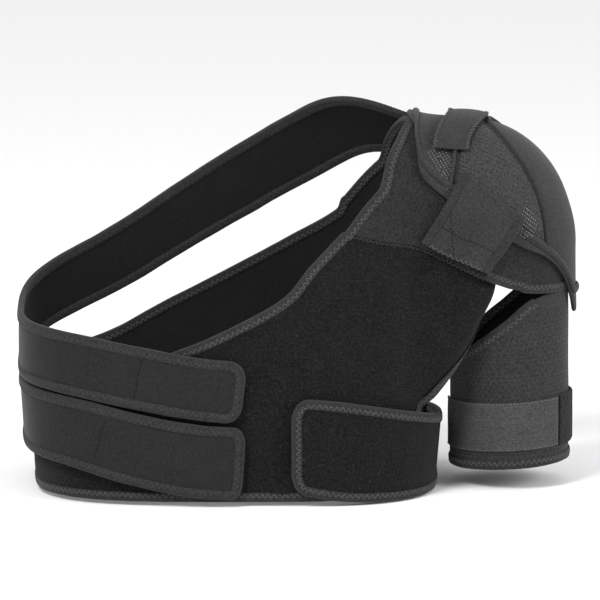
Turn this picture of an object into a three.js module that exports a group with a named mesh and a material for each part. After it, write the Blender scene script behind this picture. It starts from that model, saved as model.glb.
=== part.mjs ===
// Shoulder brace for the left shoulder, in its worn form. Millimetres, +Z up, the chest faces -Y.
import * as THREE from 'three';

// Form that the brace is worn on
const CHEST_WIDTH = 345;
const CHEST_DEPTH = 240;
const CHEST_FLARE = 0.09;
const CHEST_ROUNDNESS = 3.2;
const TORSO_TOP = 345;
const SHOULDER_HEIGHT = 318;
const SHOULDER_BAR_RADIUS = 68;
const ARM_REACH = 250;
const ARM_DIAMETER = 100;
const DELTOID_BULGE = 26;
const ARMPIT_BLEND = 32;
const ARMPIT_FOLD_RADIUS = 22;

// Cloth, tape and straps
const FABRIC = 3.5;
const TAPE = 0.6;
const TAPE_WIDTH = 7.5;
const TAPE_CLEARANCE = 0.65;
const LAYER_CLEARANCE = 1.4;
const PAD_CLEARANCE = 2.9;
const TRIM_CLEARANCE = 0.6;
const SEAM_CLEARANCE = 1;
const STRAP_WIDTH = 53;
const STRAP_END_RADIUS = 15;
const SLEEVE_HEM_HEIGHT = 16;
const ELASTIC_WIDTH = 44;
const ELASTIC_THICKNESS = 1.6;
const PAD_THICKNESS = 4.5;
const TRIM_THICKNESS = 1.4;
const BORDER_WIDTH = 7;
const PIPING_DIAMETER = 3;
const TOP_STRAP_WIDTH = 33;
const TAB_THICKNESS = 2;
const PLUSH_COLOUR = 0x1c1c1e;
const NEOPRENE_COLOUR = 0x2c2c2f;
const TAPE_COLOUR = 0x333336;
const ELASTIC_COLOUR = 0x434346;

// Worked out from the driving sizes
const HALF_WIDTH = CHEST_WIDTH / 2;
const HALF_DEPTH = CHEST_DEPTH / 2;
const ARM_RADIUS = ARM_DIAMETER / 2;
const CORNER = 0.68 * HALF_WIDTH;
const SIDE_ARC = 1.49 * HALF_WIDTH;
const TAPE_STAND = TAPE_CLEARANCE + TAPE;
const OVER_FABRIC = FABRIC + 2 * TAPE_STAND + LAYER_CLEARANCE;
const BLADE_RADIUS = 0.75 * HALF_DEPTH;
const OVER_YOKE = FABRIC + PAD_CLEARANCE;
const SHOULDER_CENTRE = new THREE.Vector3(0.78 * ARM_REACH, 0, 0.7 * SHOULDER_HEIGHT);

const clamp = (value, low, high) => Math.min(Math.max(value, low), high);
const mix = (a, b, t) => a + (b - a) * t;
function ease(low, high, value) {
  const t = clamp((value - low) / (high - low), 0, 1);
  return t * t * (3 - 2 * t);
}

// Distance-like fields of the body form: negative inside, zero on the skin
function chestHalfWidth(z) {
  return HALF_WIDTH + CHEST_FLARE * Math.max(z, 0);
}

function torsoField(x, y, z) {
  const across = Math.abs(x / chestHalfWidth(z)) ** CHEST_ROUNDNESS + Math.abs(y / HALF_DEPTH) ** CHEST_ROUNDNESS;
  const up = Math.max(z / TORSO_TOP, 0) ** 3;
  return ((across ** (3 / CHEST_ROUNDNESS) + up) ** (1 / 3) - 1) * HALF_DEPTH;
}

function barField(x, y, z) {
  const start = 0.16 * ARM_REACH;
  const end = 0.8 * ARM_REACH;
  const t = clamp((x - start) / (end - start), 0, 1);
  const rise = mix(SHOULDER_HEIGHT - 52, SHOULDER_HEIGHT - 76, t);
  return Math.hypot(x - mix(start, end, t), y, z - rise) - SHOULDER_BAR_RADIUS;
}

function armSection(z) {
  const widen = ease(0.34 * SHOULDER_HEIGHT, 0.67 * SHOULDER_HEIGHT, z);
  return {
    centre: ARM_REACH - 1.08 * DELTOID_BULGE * widen,
    rx: ARM_RADIUS + DELTOID_BULGE * widen,
    ry: ARM_RADIUS + 2 + 0.5 * DELTOID_BULGE * widen,
  };
}

function armField(x, y, z) {
  const domeBase = 0.67 * SHOULDER_HEIGHT;
  const { centre, rx, ry } = armSection(z);
  const up = Math.max((z - domeBase) / (0.28 * SHOULDER_HEIGHT), 0);
  return (Math.hypot((x - centre) / rx, y / ry, up) - 1) * ry;
}

// The folds of muscle in front of the armpit and behind it
function foldField(x, y, z) {
  const [lowX, highX] = [0.96 * HALF_WIDTH, 0.85 * ARM_REACH];
  const [lowZ, highZ] = [0.31 * SHOULDER_HEIGHT, 0.57 * SHOULDER_HEIGHT];
  const run = highX - lowX;
  const rise = highZ - lowZ;
  const t = clamp(((x - lowX) * run + (z - lowZ) * rise) / (run * run + rise * rise), 0, 1);
  const depth = Math.abs(y) - 0.5 * HALF_DEPTH;
  return Math.hypot(x - lowX - t * run, depth, z - lowZ - t * rise) - ARMPIT_FOLD_RADIUS;
}

function blendMin(a, b, reach) {
  const h = clamp(0.5 + (0.5 * (b - a)) / reach, 0, 1);
  return mix(b, a, h) - reach * h * (1 - h);
}

const blendReach = (z) =>
  4 + (ARMPIT_BLEND - 4) * ease(0.22 * SHOULDER_HEIGHT, 0.7 * SHOULDER_HEIGHT, z);

function trunkField(x, y, z) {
  const reach = blendReach(z);
  const trunk = blendMin(torsoField(x, y, z), barField(x, y, z), reach);
  return blendMin(trunk, foldField(x, y, z), reach);
}

function bodyField(x, y, z) {
  return blendMin(trunkField(x, y, z), armField(x, y, z), blendReach(z));
}

function normalOf(field, p) {
  const h = 3;
  return new THREE.Vector3(
    field(p.x + h, p.y, p.z) - field(p.x - h, p.y, p.z),
    field(p.x, p.y + h, p.z) - field(p.x, p.y - h, p.z),
    field(p.x, p.y, p.z + h) - field(p.x, p.y, p.z - h),
  ).normalize();
}

// Last point along a ray that is still on the form
function castOut(field, origin, direction, near, far) {
  let low = near;
  let high = far;
  for (let i = 0; i < 40; i++) {
    const middle = (low + high) / 2;
    const p = direction.clone().multiplyScalar(middle).add(origin);
    if (field(p.x, p.y, p.z) < 0) low = middle;
    else high = middle;
  }
  const p = direction.clone().multiplyScalar(low).add(origin);
  return { p, n: normalOf(field, p) };
}

// A point of the front (side -1) or back (side 1) skin, given as seen from the front
function face(x, z, side) {
  const middle = new THREE.Vector3(x, 0, z);
  const near = bodyField(x, 0.5 * HALF_DEPTH, z) < 0 ? 0.5 * HALF_DEPTH : 0;
  return castOut(bodyField, middle, new THREE.Vector3(0, side, 0), near, CHEST_DEPTH);
}

// A point of the back, whose height above the shoulder's centre is measured along the skin
function blade(x, z) {
  const over = Math.max(z - SHOULDER_CENTRE.z, 0);
  if (over === 0) return face(x, z, 1);
  const lean = Math.max(Math.PI / 2 - over / BLADE_RADIUS, 0);
  const direction = new THREE.Vector3(0, Math.sin(lean), Math.cos(lean));
  return castOut(bodyField, new THREE.Vector3(x, 0, SHOULDER_CENTRE.z), direction, 0, CHEST_WIDTH);
}

// A point g millimetres round the chest from its front middle, minus to the right of the wearer
function belt(g, z) {
  const sign = Math.sign(g) || 1;
  const along = Math.abs(g);
  if (along <= CORNER) return face(g, z, -1);
  if (along >= CORNER + SIDE_ARC) return blade(sign * (2 * CORNER + SIDE_ARC - along), z);
  const corner = face(sign * CORNER, z, -1).p;
  const first = Math.atan2(CORNER, Math.abs(corner.y));
  const angle = mix(first, Math.PI - first, (along - CORNER) / SIDE_ARC);
  const direction = new THREE.Vector3(sign * Math.sin(angle), -Math.cos(angle), 0);
  return castOut(trunkField, new THREE.Vector3(0, 0, z), direction, 0, CHEST_WIDTH);
}

// The direction from the shoulder's centre between two of its points
function shoulderAim(a, b, t) {
  const from = a.clone().sub(SHOULDER_CENTRE).normalize();
  const to = b.clone().sub(SHOULDER_CENTRE).normalize();
  const angle = from.angleTo(to);
  return from.multiplyScalar(Math.sin((1 - t) * angle)).add(to.multiplyScalar(Math.sin(t * angle))).normalize();
}

// The skin of the shoulder between two of its points, along the arc about the shoulder's centre
function overShoulder(a, b, t) {
  return castOut(bodyField, SHOULDER_CENTRE, shoulderAim(a, b, t), 0, CHEST_WIDTH);
}

function armPoint(turn, z) {
  const { centre } = armSection(z);
  const direction = new THREE.Vector3(-Math.cos(turn), -Math.sin(turn), 0);
  return castOut(armField, new THREE.Vector3(centre, 0, z), direction, 0, CHEST_WIDTH);
}

// Value of a table's column at a key, smoothly through its rows
function along(rows, key) {
  const last = rows.length - 1;
  let i = 0;
  while (i < last - 1 && key > rows[i + 1][0]) i++;
  const t = clamp((key - rows[i][0]) / (rows[i + 1][0] - rows[i][0]), 0, 1);
  const before = rows[Math.max(i - 1, 0)];
  const after = rows[Math.min(i + 2, last)];
  return rows[i].slice(1).map((value, column) => {
    const c = column + 1;
    const span = rows[i + 1][0] - rows[i][0];
    const m0 = (span * (rows[i + 1][c] - before[c])) / (rows[i + 1][0] - before[0]);
    const m1 = (span * (after[c] - rows[i][c])) / (after[0] - rows[i][0]);
    const t2 = t * t;
    const t3 = t2 * t;
    return (2 * t3 - 3 * t2 + 1) * value + (t3 - 2 * t2 + t) * m0
      + (3 * t2 - 2 * t3) * rows[i + 1][c] + (t3 - t2) * m1;
  });
}

// A polyline of [x, z] rows, read at a share of its length
function readLine(points, share) {
  const lengths = [0];
  for (let i = 1; i < points.length; i++) {
    lengths.push(lengths[i - 1] + Math.hypot(points[i][0] - points[i - 1][0], points[i][1] - points[i - 1][1]));
  }
  const keyed = points.map((point, i) => [lengths[i] / lengths[lengths.length - 1], ...point]);
  return along(keyed, share);
}

function gridOf(rows, columns, pointAt) {
  return Array.from({ length: rows + 1 }, (_, i) =>
    Array.from({ length: columns + 1 }, (_, j) => pointAt(i / rows, j / columns)));
}

// A closed wall between two heights above the skin, over a grid of skin points
function wall(grid, low, high, round = false) {
  const rows = grid.length;
  const columns = grid[0].length;
  const vertices = [];
  const faces = [];
  for (const height of [low, high]) {
    for (const row of grid) {
      for (const { p, n, lift: own = 0 } of row) {
        const lift = height + own;
        vertices.push(p.x + n.x * lift, p.y + n.y * lift, p.z + n.z * lift);
      }
    }
  }
  const inner = (i, j) => i * columns + (j % columns);
  const outer = (i, j) => rows * columns + inner(i, j);
  const quad = (a, b, c, d) => faces.push(a, b, c, a, c, d);
  const lastColumn = round ? columns : columns - 1;
  for (let i = 0; i < rows - 1; i++) {
    for (let j = 0; j < lastColumn; j++) {
      quad(outer(i, j), outer(i, j + 1), outer(i + 1, j + 1), outer(i + 1, j));
      quad(inner(i, j), inner(i + 1, j), inner(i + 1, j + 1), inner(i, j + 1));
    }
  }
  for (let j = 0; j < lastColumn; j++) {
    quad(inner(0, j), inner(0, j + 1), outer(0, j + 1), outer(0, j));
    quad(outer(rows - 1, j), outer(rows - 1, j + 1), inner(rows - 1, j + 1), inner(rows - 1, j));
  }
  if (!round) {
    for (let i = 0; i < rows - 1; i++) {
      quad(inner(i + 1, 0), inner(i, 0), outer(i, 0), outer(i + 1, 0));
      quad(outer(i + 1, columns - 1), outer(i, columns - 1), inner(i, columns - 1), inner(i + 1, columns - 1));
    }
  }
  return closedGeometry(vertices, faces);
}

function closedGeometry(vertices, faces) {
  let volume = 0;
  const at = (i) => new THREE.Vector3(vertices[3 * i], vertices[3 * i + 1], vertices[3 * i + 2]);
  for (let f = 0; f < faces.length; f += 3) {
    volume += at(faces[f]).dot(at(faces[f + 1]).cross(at(faces[f + 2])));
  }
  if (volume < 0) faces.reverse();
  const geometry = new THREE.BufferGeometry();
  geometry.setAttribute('position', new THREE.Float32BufferAttribute(vertices, 3));
  geometry.setIndex(faces);
  return geometry;
}

// The four edges of a grid as paths of skin points, each with its inward neighbour
function edges(grid) {
  const rows = grid.length - 1;
  const columns = grid[0].length - 1;
  const pick = (i, j) => ({ ...grid[i][j], inside: grid[clamp(i, 1, rows - 1)][clamp(j, 1, columns - 1)] });
  const count = (n) => Array.from({ length: n + 1 }, (_, k) => k);
  return {
    first: count(columns).map((j) => pick(0, j)),
    last: count(columns).map((j) => pick(rows, j)),
    start: count(rows).map((i) => pick(i, 0)),
    end: count(rows).map((i) => pick(i, columns)),
  };
}

const JOIN_SPACING = 1.6;
function joinPaths(...paths) {
  const joined = [];
  for (const path of paths) {
    for (const point of path) {
      const previous = joined[joined.length - 1];
      if (!previous || previous.p.distanceTo(point.p) > JOIN_SPACING) joined.push(point);
    }
  }
  return joined;
}

// A section of [outwards, up] points swept along an edge path
function sweep(path, section, closed = false) {
  const count = path.length;
  const vertices = [];
  const faces = [];
  path.forEach((point) => {
    const inward = point.inside.p.clone().sub(point.p);
    const lean = point.inside.n.clone().sub(point.n);
    const lift = point.lift ?? 0;
    for (const [out, up] of section) {
      const share = -out / inward.length();
      const normal = point.n.clone().addScaledVector(lean, Math.max(share, 0));
      const v = point.p.clone().addScaledVector(inward, share).addScaledVector(normal, up + lift);
      vertices.push(v.x, v.y, v.z);
    }
  });
  const sides = section.length;
  const at = (k, s) => (k % count) * sides + (s % sides);
  for (let k = 0; k < (closed ? count : count - 1); k++) {
    for (let s = 0; s < sides; s++) {
      faces.push(at(k, s), at(k, s + 1), at(k + 1, s + 1), at(k, s), at(k + 1, s + 1), at(k + 1, s));
    }
  }
  if (!closed) {
    const cap = THREE.ShapeUtils.triangulateShape(section.map(([x, y]) => new THREE.Vector2(x, y)), []);
    for (const [a, b, c] of cap) {
      faces.push(at(0, c), at(0, b), at(0, a));
      faces.push(at(count - 1, a), at(count - 1, b), at(count - 1, c));
    }
    const turn = THREE.ShapeUtils.area(section.map(([x, y]) => new THREE.Vector2(x, y)));
    if (turn < 0) faces.splice(-6 * cap.length, 6 * cap.length, ...faces.slice(-6 * cap.length).reverse());
  }
  return closedGeometry(vertices, faces);
}

// Fold-over tape round the edge of a wall whose skin lies at a height
function tape(path, height = 0, closed = false, thickness = FABRIC) {
  const top = height + thickness + TAPE_CLEARANCE;
  const bottom = height - TAPE_CLEARANCE;
  return sweep(path, [
    [-TAPE_WIDTH, bottom - TAPE],
    [TAPE_STAND, bottom - TAPE],
    [TAPE_STAND, top + TAPE],
    [-TAPE_WIDTH, top + TAPE],
    [-TAPE_WIDTH, top],
    [TAPE_CLEARANCE, top],
    [TAPE_CLEARANCE, bottom],
    [-TAPE_WIDTH, bottom],
  ], closed);
}

const brace = new THREE.Group();
function add(name, geometry, color, roughness = 0.9) {
  const mesh = new THREE.Mesh(geometry, new THREE.MeshStandardMaterial({ color, roughness, metalness: 0 }));
  mesh.name = name;
  brace.add(mesh);
}

// Chest and back panels: [round the chest / half width, height / shoulder height]
const CHEST_TOP = [
  [-1.52, 0.27], [-0.69, 0.35], [-0.25, 0.425], [0.04, 0.494], [0.28, 0.57], [0.41, 0.653],
  [0.55, 0.73], [0.587, 0.745],
];
const SEAM = [[0.587, 0.745], [0.748, 0.72], [0.975, 0.695], [1.3, 0.608]];
const ARM_EDGE = [
  [0.98, 0], [0.985, 0.1], [0.995, 0.19], [1.02, 0.25], [1.07, 0.31], [1.14, 0.38], [1.19, 0.44], [1.26, 0.535],
  [1.3, 0.608],
];
const sized = (rows) => rows.map(([x, z]) => [x * HALF_WIDTH, z * SHOULDER_HEIGHT]);
const seamDrop = (z) => z - SEAM_CLEARANCE;

function wrapPanel(topRows, leftEnd, side, columns, rows) {
  const top = sized([...topRows, ...SEAM.slice(1)]);
  const right = sized(ARM_EDGE);
  const left = leftEnd * HALF_WIDTH;
  const toSkin = (g, z) => {
    if (g > -CORNER) return face(g, z, side);
    return side < 0 ? belt(g, z) : belt(-(2 * CORNER + SIDE_ARC + g), z);
  };
  return gridOf(rows, columns, (t, s) => {
    const high = readLine(top, s);
    const rim = readLine(right, t);
    const corner = right[0][0];
    const low = mix(left, corner, s);
    const leftSide = [left, mix(0, top[0][1], t)];
    const g = mix(low, high[0], t) + mix(leftSide[0], rim[0], s)
      - mix(mix(left, corner, s), mix(top[0][0], rim[0] + right[right.length - 1][0] - rim[0], s), t);
    const z = mix(0, seamDrop(high[1]), t) + mix(leftSide[1], rim[1], s)
      - mix(0, mix(top[0][1], right[right.length - 1][1], s), t);
    return toSkin(g, Math.max(z, 0));
  });
}

const chestGrid = wrapPanel(CHEST_TOP, -1.52, -1, 20, 14);
const BACK_TOP = [
  [-1.3, 0.27], [-0.69, 0.34], [-0.342, 0.436], [0, 0.532], [0.306, 0.624], [0.55, 0.705], [0.587, 0.745],
];
const backGrid = wrapPanel(BACK_TOP, -1.3, 1, 18, 14);
add('chest_panel', wall(chestGrid, 0, FABRIC), PLUSH_COLOUR, 1);
add('back_panel', wall(backGrid, 0, FABRIC), NEOPRENE_COLOUR);

// Shoulder yoke: from its front seam over the shoulder to its back seam
// [share of the way, neck edge x / half width, z / shoulder height, arm edge x / arm reach, z / shoulder height]
const YOKE = [
  [0, 0.587, 0.745, 0.897, 0.608],
  [0.12, 0.724, 0.858, 0.985, 0.572],
  [0.24, 0.794, 0.925, 1.07, 0.555],
  [0.36, 0.864, 0.988, 1.15, 0.548],
  [0.5, 0.92, 1.03, 1.2, 0.548],
];

// Near its seams the yoke eases into the seam line
const SEAM_EASE = 0.14;
function yokePoint(share, across) {
  const side = share <= 0.5 ? -1 : 1;
  const near = Math.min(share, 1 - share);
  const [neckX, neckZ, armX, armZ] = along(YOKE, Math.max(near, SEAM_EASE));
  const depth = side * Math.cos(Math.PI * Math.max(near, SEAM_EASE)) * HALF_DEPTH;
  const neck = new THREE.Vector3(neckX * HALF_WIDTH, 0.8 * depth, neckZ * SHOULDER_HEIGHT);
  const height = armZ * SHOULDER_HEIGHT;
  const outward = armX * ARM_REACH - armSection(height).centre;
  const arm = near > 0.2
    ? armPoint(Math.atan2(-0.62 * depth, -outward), height).p
    : new THREE.Vector3(armX * ARM_REACH, 0.62 * depth, height);
  const [x, z] = readLine(sized(SEAM), across);
  const seam = face(x, z, side);
  if (near === 0) return seam;
  if (near >= SEAM_EASE) return overShoulder(neck, arm, across);
  return overShoulder(seam.p, overShoulder(neck, arm, across).p, near / SEAM_EASE);
}

const yokeGrid = gridOf(22, 14, yokePoint);
add('shoulder_yoke', wall(yokeGrid, 0, FABRIC), NEOPRENE_COLOUR);

// Side flap: [share from its free end, round the chest / half width, low and high edge / shoulder height]
const FLAP = [
  [0, 0.316, 0.07, 0.243],
  [0.04, 0.342, 0.035, 0.273],
  [0.1, 0.4, 0.018, 0.286],
  [0.3, 0.675, -0.004, 0.265],
  [0.55, 1.2, -0.008, 0.202],
  [0.75, 1.7, -0.006, 0.172],
  [1, 2.25, 0, 0.162],
];
const flapGrid = gridOf(18, 4, (t, s) => {
  const [g, low, high] = along(FLAP, t);
  return belt(g * HALF_WIDTH, mix(low, high, s) * SHOULDER_HEIGHT);
});
add('side_flap', wall(flapGrid, OVER_FABRIC, OVER_FABRIC + FABRIC), PLUSH_COLOUR, 1);

// Straps: [round the chest / half width, height / shoulder height, width / strap width]
const UPPER_STRAP = [
  [0.06, 0.307, 1], [-0.2, 0.322, 1], [-0.5, 0.351, 1], [-0.84, 0.383, 1], [-1.43, 0.41, 1], [-1.73, 0.437, 1],
  [-2.18, 0.54, 1], [-2.53, 0.655, 1], [-2.88, 0.766, 1], [-3.22, 0.862, 1], [-3.42, 0.925, 0.98],
  [-3.58, 0.955, 0.96], [-3.7, 0.955, 0.92],
];
const LOWER_STRAP = [
  [0.06, 0.1, 1.12], [-0.2, 0.109, 1.1], [-0.5, 0.14, 1.06], [-0.84, 0.182, 1], [-1.43, 0.205, 0.98],
  [-2.0, 0.205, 1], [-2.6, 0.2, 1.02],
];

function strapGrid(table, from, to, steps, rounded) {
  const route = table.map(([g, z, width]) => [g * HALF_WIDTH, z * SHOULDER_HEIGHT, width * STRAP_WIDTH]);
  const stations = Array.from({ length: steps + 1 }, (_, k) => mix(from, to, k / steps));
  const length = 4.3 * HALF_WIDTH;
  const extra = rounded ? [0.06, 0.35].map((share) => from + (share * STRAP_END_RADIUS) / length) : [];
  const keys = [...stations, ...extra].sort((a, b) => a - b);
  return keys.map((key) => {
    const here = readLine(route, key);
    const ahead = readLine(route, Math.min(key + 0.01, 1));
    const behind = readLine(route, Math.max(key - 0.01, 0));
    const dg = ahead[0] - behind[0];
    const dz = ahead[1] - behind[1];
    const scale = 1 / Math.hypot(dg, dz);
    const reach = rounded ? Math.min((key - from) * length, STRAP_END_RADIUS) : STRAP_END_RADIUS;
    const shrink = STRAP_END_RADIUS - Math.sqrt(STRAP_END_RADIUS ** 2 - (STRAP_END_RADIUS - reach) ** 2);
    const half = here[2] / 2 - shrink;
    return [-1, -0.5, 0, 0.5, 1].map((share) =>
      belt(here[0] + dz * scale * half * share, Math.max(here[1] - dg * scale * half * share, 0)));
  });
}

const upperStrap = strapGrid(UPPER_STRAP, 0, 1, 38, true);
const lowerStrap = strapGrid(LOWER_STRAP, 0, 1, 20, true);
const strapBase = OVER_FABRIC;
add('upper_strap', wall(upperStrap, strapBase, strapBase + FABRIC), NEOPRENE_COLOUR);
add('lower_strap', wall(lowerStrap, strapBase, strapBase + FABRIC), NEOPRENE_COLOUR);

// Arm sleeve: [turn from the armpit / half turn, top edge / shoulder height]
const SLEEVE_TOP = [[0, 0.345], [0.22, 0.375], [0.5, 0.462], [0.68, 0.526], [0.82, 0.5455], [1, 0.5455]];
const SLEEVE_STEPS = 22;
const hemHeight = (turn) => SLEEVE_HEM_HEIGHT - 3 * Math.cos(turn);
function sleeveTop(turn) {
  const share = Math.abs(((turn / Math.PI + 1) % 2) - 1);
  return along(SLEEVE_TOP, share)[0] * SHOULDER_HEIGHT;
}
const sleeveGrid = Array.from({ length: 8 }, (_, i) =>
  Array.from({ length: SLEEVE_STEPS }, (_, j) => {
    const turn = (2 * Math.PI * j) / SLEEVE_STEPS;
    return armPoint(turn, mix(hemHeight(turn), sleeveTop(turn), i / 7));
  }));
add('arm_sleeve', wall(sleeveGrid, 0, FABRIC, true), NEOPRENE_COLOUR);

function armBand(fromTurn, toTurn, steps, low, high) {
  return gridOf(steps, 3, (t, s) => {
    const turn = mix(fromTurn, toTurn, t);
    return armPoint(turn, hemHeight(turn) + mix(low, high, s));
  });
}
const ELASTIC_LOW = 16;
const elasticHigh = ELASTIC_LOW + ELASTIC_WIDTH;
const overSleeve = FABRIC + 0.4;
const ELASTIC_START = 0.19 * Math.PI;
const ELASTIC_STOP = 0.78 * Math.PI;
const GRIP_STOP = 0.95 * Math.PI;
const TAIL_STOP = 1.75 * Math.PI;
const joint = SEAM_CLEARANCE / ARM_RADIUS;
add('arm_elastic', wall(armBand(ELASTIC_START, ELASTIC_STOP, 12, ELASTIC_LOW, elasticHigh), overSleeve,
  overSleeve + ELASTIC_THICKNESS), ELASTIC_COLOUR, 0.8);
add('arm_loop_patch', wall(armBand(ELASTIC_STOP + joint, GRIP_STOP, 5, ELASTIC_LOW - 1, elasticHigh + 1),
  overSleeve, overSleeve + 2.6), PLUSH_COLOUR, 1);
add('arm_strap_end', wall(armBand(GRIP_STOP + joint, TAIL_STOP, 12, ELASTIC_LOW, elasticHigh), overSleeve,
  overSleeve + 3), NEOPRENE_COLOUR);

// Shoulder cup, from its neck side to its outer tip
// [share, front edge x / arm reach, y / arm radius, z / shoulder height, crown lean in degrees]
const CUP = [
  [0, 0.635, -0.55, 1.02, -22],
  [0.1, 0.645, -1.15, 0.955, -15.5],
  [0.2, 0.665, -1.4, 0.895, -10],
  [0.34, 0.78, -1.45, 0.82, 6],
  [0.5, 0.91, -1.35, 0.74, 38],
  [0.65, 1.03, -1.25, 0.69, 68],
  [0.8, 1.12, -0.95, 0.65, 94],
  [0.9, 1.18, -0.62, 0.585, 109],
  [0.96, 1.21, -0.34, 0.51, 118],
  [1, 1.22, -0.12, 0.46, 124],
];

function cupPoint(share, across) {
  const [x, y, z, lean] = along(CUP, share);
  const front = new THREE.Vector3(x * ARM_REACH, y * ARM_RADIUS, z * SHOULDER_HEIGHT);
  const back = front.clone().setY(-front.y);
  const angle = THREE.MathUtils.degToRad(lean);
  const crown = new THREE.Vector3(Math.sin(angle), 0, Math.cos(angle));
  const aim = shoulderAim(front, back, across);
  aim.addScaledVector(crown.sub(shoulderAim(front, back, 0.5)), Math.sin(Math.PI * across)).normalize();
  return castOut(bodyField, SHOULDER_CENTRE, aim, 0, CHEST_WIDTH);
}

const cupBase = OVER_YOKE;
const cupTop = cupBase + PAD_THICKNESS;
const cupGrid = gridOf(18, 16, cupPoint);
add('shoulder_cup', wall(cupGrid, cupBase, cupTop), NEOPRENE_COLOUR);

// Trim on the cup lies on its outer face and keeps to the cup's own grid lines
const trimBase = cupTop + TRIM_CLEARANCE;
const cupWindow = (rows, columns) => cupGrid.slice(...rows).map((row) => row.slice(...columns));
function windowRim(window) {
  const { first, last, start, end } = edges(window);
  return joinPaths(first, end, last.reverse(), start.reverse()).slice(0, -1);
}
const borderRim = windowRim(cupWindow([1, -1], [1, -1]));
add('cup_border', sweep(borderRim, [
  [BORDER_WIDTH / 2, trimBase], [BORDER_WIDTH / 2, trimBase + 1.2], [0, trimBase + 2.4],
  [-BORDER_WIDTH / 2, trimBase + 1.2], [-BORDER_WIDTH / 2, trimBase],
], true), TAPE_COLOUR);
const pipingRadius = PIPING_DIAMETER / 2;
const pipingSection = Array.from({ length: 6 }, (_, k) => {
  const angle = (k * Math.PI) / 3;
  return [pipingRadius * Math.cos(angle), trimBase + pipingRadius * (1 + Math.sin(angle))];
});
add('cup_piping', sweep(windowRim(cupWindow([5, -3], [3, -3])), pipingSection, true), TAPE_COLOUR);
add('cup_panel', wall(cupWindow([6, -4], [4, -4]), trimBase, trimBase + TRIM_THICKNESS), NEOPRENE_COLOUR);

// Top strap over the neck side of the cup, and the anchor tab in front of it
const bandBase = trimBase + PIPING_DIAMETER + 0.6;
const topStrap = gridOf(14, 2, (t, s) => {
  const x = 0.8 * ARM_REACH + mix(-0.5, 0.5, s) * TOP_STRAP_WIDTH;
  const lean = mix(-0.19, 0.5, t) * Math.PI;
  const direction = new THREE.Vector3(0, Math.sin(lean), Math.cos(lean));
  return castOut(bodyField, new THREE.Vector3(x, 0, SHOULDER_CENTRE.z), direction, 0, CHEST_WIDTH);
});
add('top_strap', wall(topStrap, bandBase, bandBase + TAB_THICKNESS), NEOPRENE_COLOUR);

// Corners of the front tab as seen from the front: [x / arm reach, z / shoulder height]
const TAB = { topInner: [0.825, 0.885], topOuter: [1.015, 0.765], lowOuter: [0.905, 0.616], lowInner: [0.67, 0.714] };
const tabGrid = gridOf(6, 5, (t, s) => {
  const top = [mix(TAB.topInner[0], TAB.topOuter[0], s), mix(TAB.topInner[1], TAB.topOuter[1], s)];
  const low = [mix(TAB.lowInner[0], TAB.lowOuter[0], s), mix(TAB.lowInner[1], TAB.lowOuter[1], s)];
  const point = face(mix(top[0], low[0], t) * ARM_REACH, mix(top[1], low[1], t) * SHOULDER_HEIGHT, -1);
  return { ...point, lift: mix(bandBase, OVER_YOKE + TRIM_CLEARANCE, ease(0.3, 0.9, t)) };
});
add('front_tab', wall(tabGrid, 0, TAB_THICKNESS), NEOPRENE_COLOUR);
const tabEdge = [[-TAPE_WIDTH, 0], [0, 0], [0, 1], [-TAPE_WIDTH, 1]]
  .map(([out, up]) => [out, TAB_THICKNESS + TAPE_CLEARANCE + up]);
add('front_tab_inner_tape', sweep(edges(tabGrid).start, tabEdge), TAPE_COLOUR);
add('front_tab_outer_tape', sweep(edges(tabGrid).end, tabEdge), TAPE_COLOUR);

// The armhole's path over the shoulder, with each inward neighbour square to the path and above it
function squared(path) {
  return path.map((point, k) => {
    const ahead = path[Math.min(k + 1, path.length - 1)].p.clone().sub(path[Math.max(k - 1, 0)].p);
    const across = point.n.clone().cross(ahead).normalize();
    if (across.z < 0) across.negate();
    const aim = point.p.clone().addScaledVector(across, TAPE_WIDTH).sub(SHOULDER_CENTRE).normalize();
    return { ...point, inside: castOut(bodyField, SHOULDER_CENTRE, aim, 0, CHEST_WIDTH) };
  });
}

// Fold-over edge tapes
const chestEdges = edges(chestGrid);
const backEdges = edges(backGrid);
const yokeEdges = edges(yokeGrid);
const onNeck = (topRows) => (point) => point.p.x < sized(topRows)[topRows.length - 1][0];
const frontNeck = chestEdges.last.filter(onNeck(CHEST_TOP));
const backNeck = backEdges.last.filter(onNeck(BACK_TOP)).reverse();
add('neck_binding', tape(joinPaths(frontNeck, yokeEdges.start, backNeck)), TAPE_COLOUR);
add('hem_binding_front', tape(chestEdges.first), TAPE_COLOUR);
add('hem_binding_back', tape(backEdges.first), TAPE_COLOUR);
const ARM_TAPE_ROOM = 0.25;
const openArm = squared(yokeEdges.end).filter((point) => point.p.x < 1.1 * ARM_REACH);
const frontArm = openArm.filter((point) => point.p.y < 0);
const backArm = openArm.filter((point) => point.p.y > 0).reverse();
add('armhole_binding_front', tape(chestEdges.end.slice(1, -1)), TAPE_COLOUR);
add('armhole_top_binding_front', tape(frontArm.slice(1), -ARM_TAPE_ROOM, false, FABRIC + 2 * ARM_TAPE_ROOM), TAPE_COLOUR);
add('armhole_binding_back', tape(backEdges.end.slice(1, -1)), TAPE_COLOUR);
add('armhole_top_binding_back', tape(backArm.slice(1), -ARM_TAPE_ROOM, false, FABRIC + 2 * ARM_TAPE_ROOM), TAPE_COLOUR);
const flapEdges = edges(flapGrid);
add('flap_binding', tape(joinPaths(flapEdges.start.reverse(), flapEdges.first, flapEdges.end), OVER_FABRIC),
  TAPE_COLOUR);
for (const [name, strap] of [['upper', upperStrap], ['lower', lowerStrap]]) {
  const { start, first, end } = edges(strap);
  add(`${name}_strap_binding`, tape(joinPaths(start.reverse(), first, end), strapBase), TAPE_COLOUR);
}
const inward = (rows, near, next) => rows[near].map((point, j) => ({ ...point, inside: rows[next][j] }));
add('sleeve_hem_binding', tape(inward(sleeveGrid, 0, 1), 0, true), TAPE_COLOUR);
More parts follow.
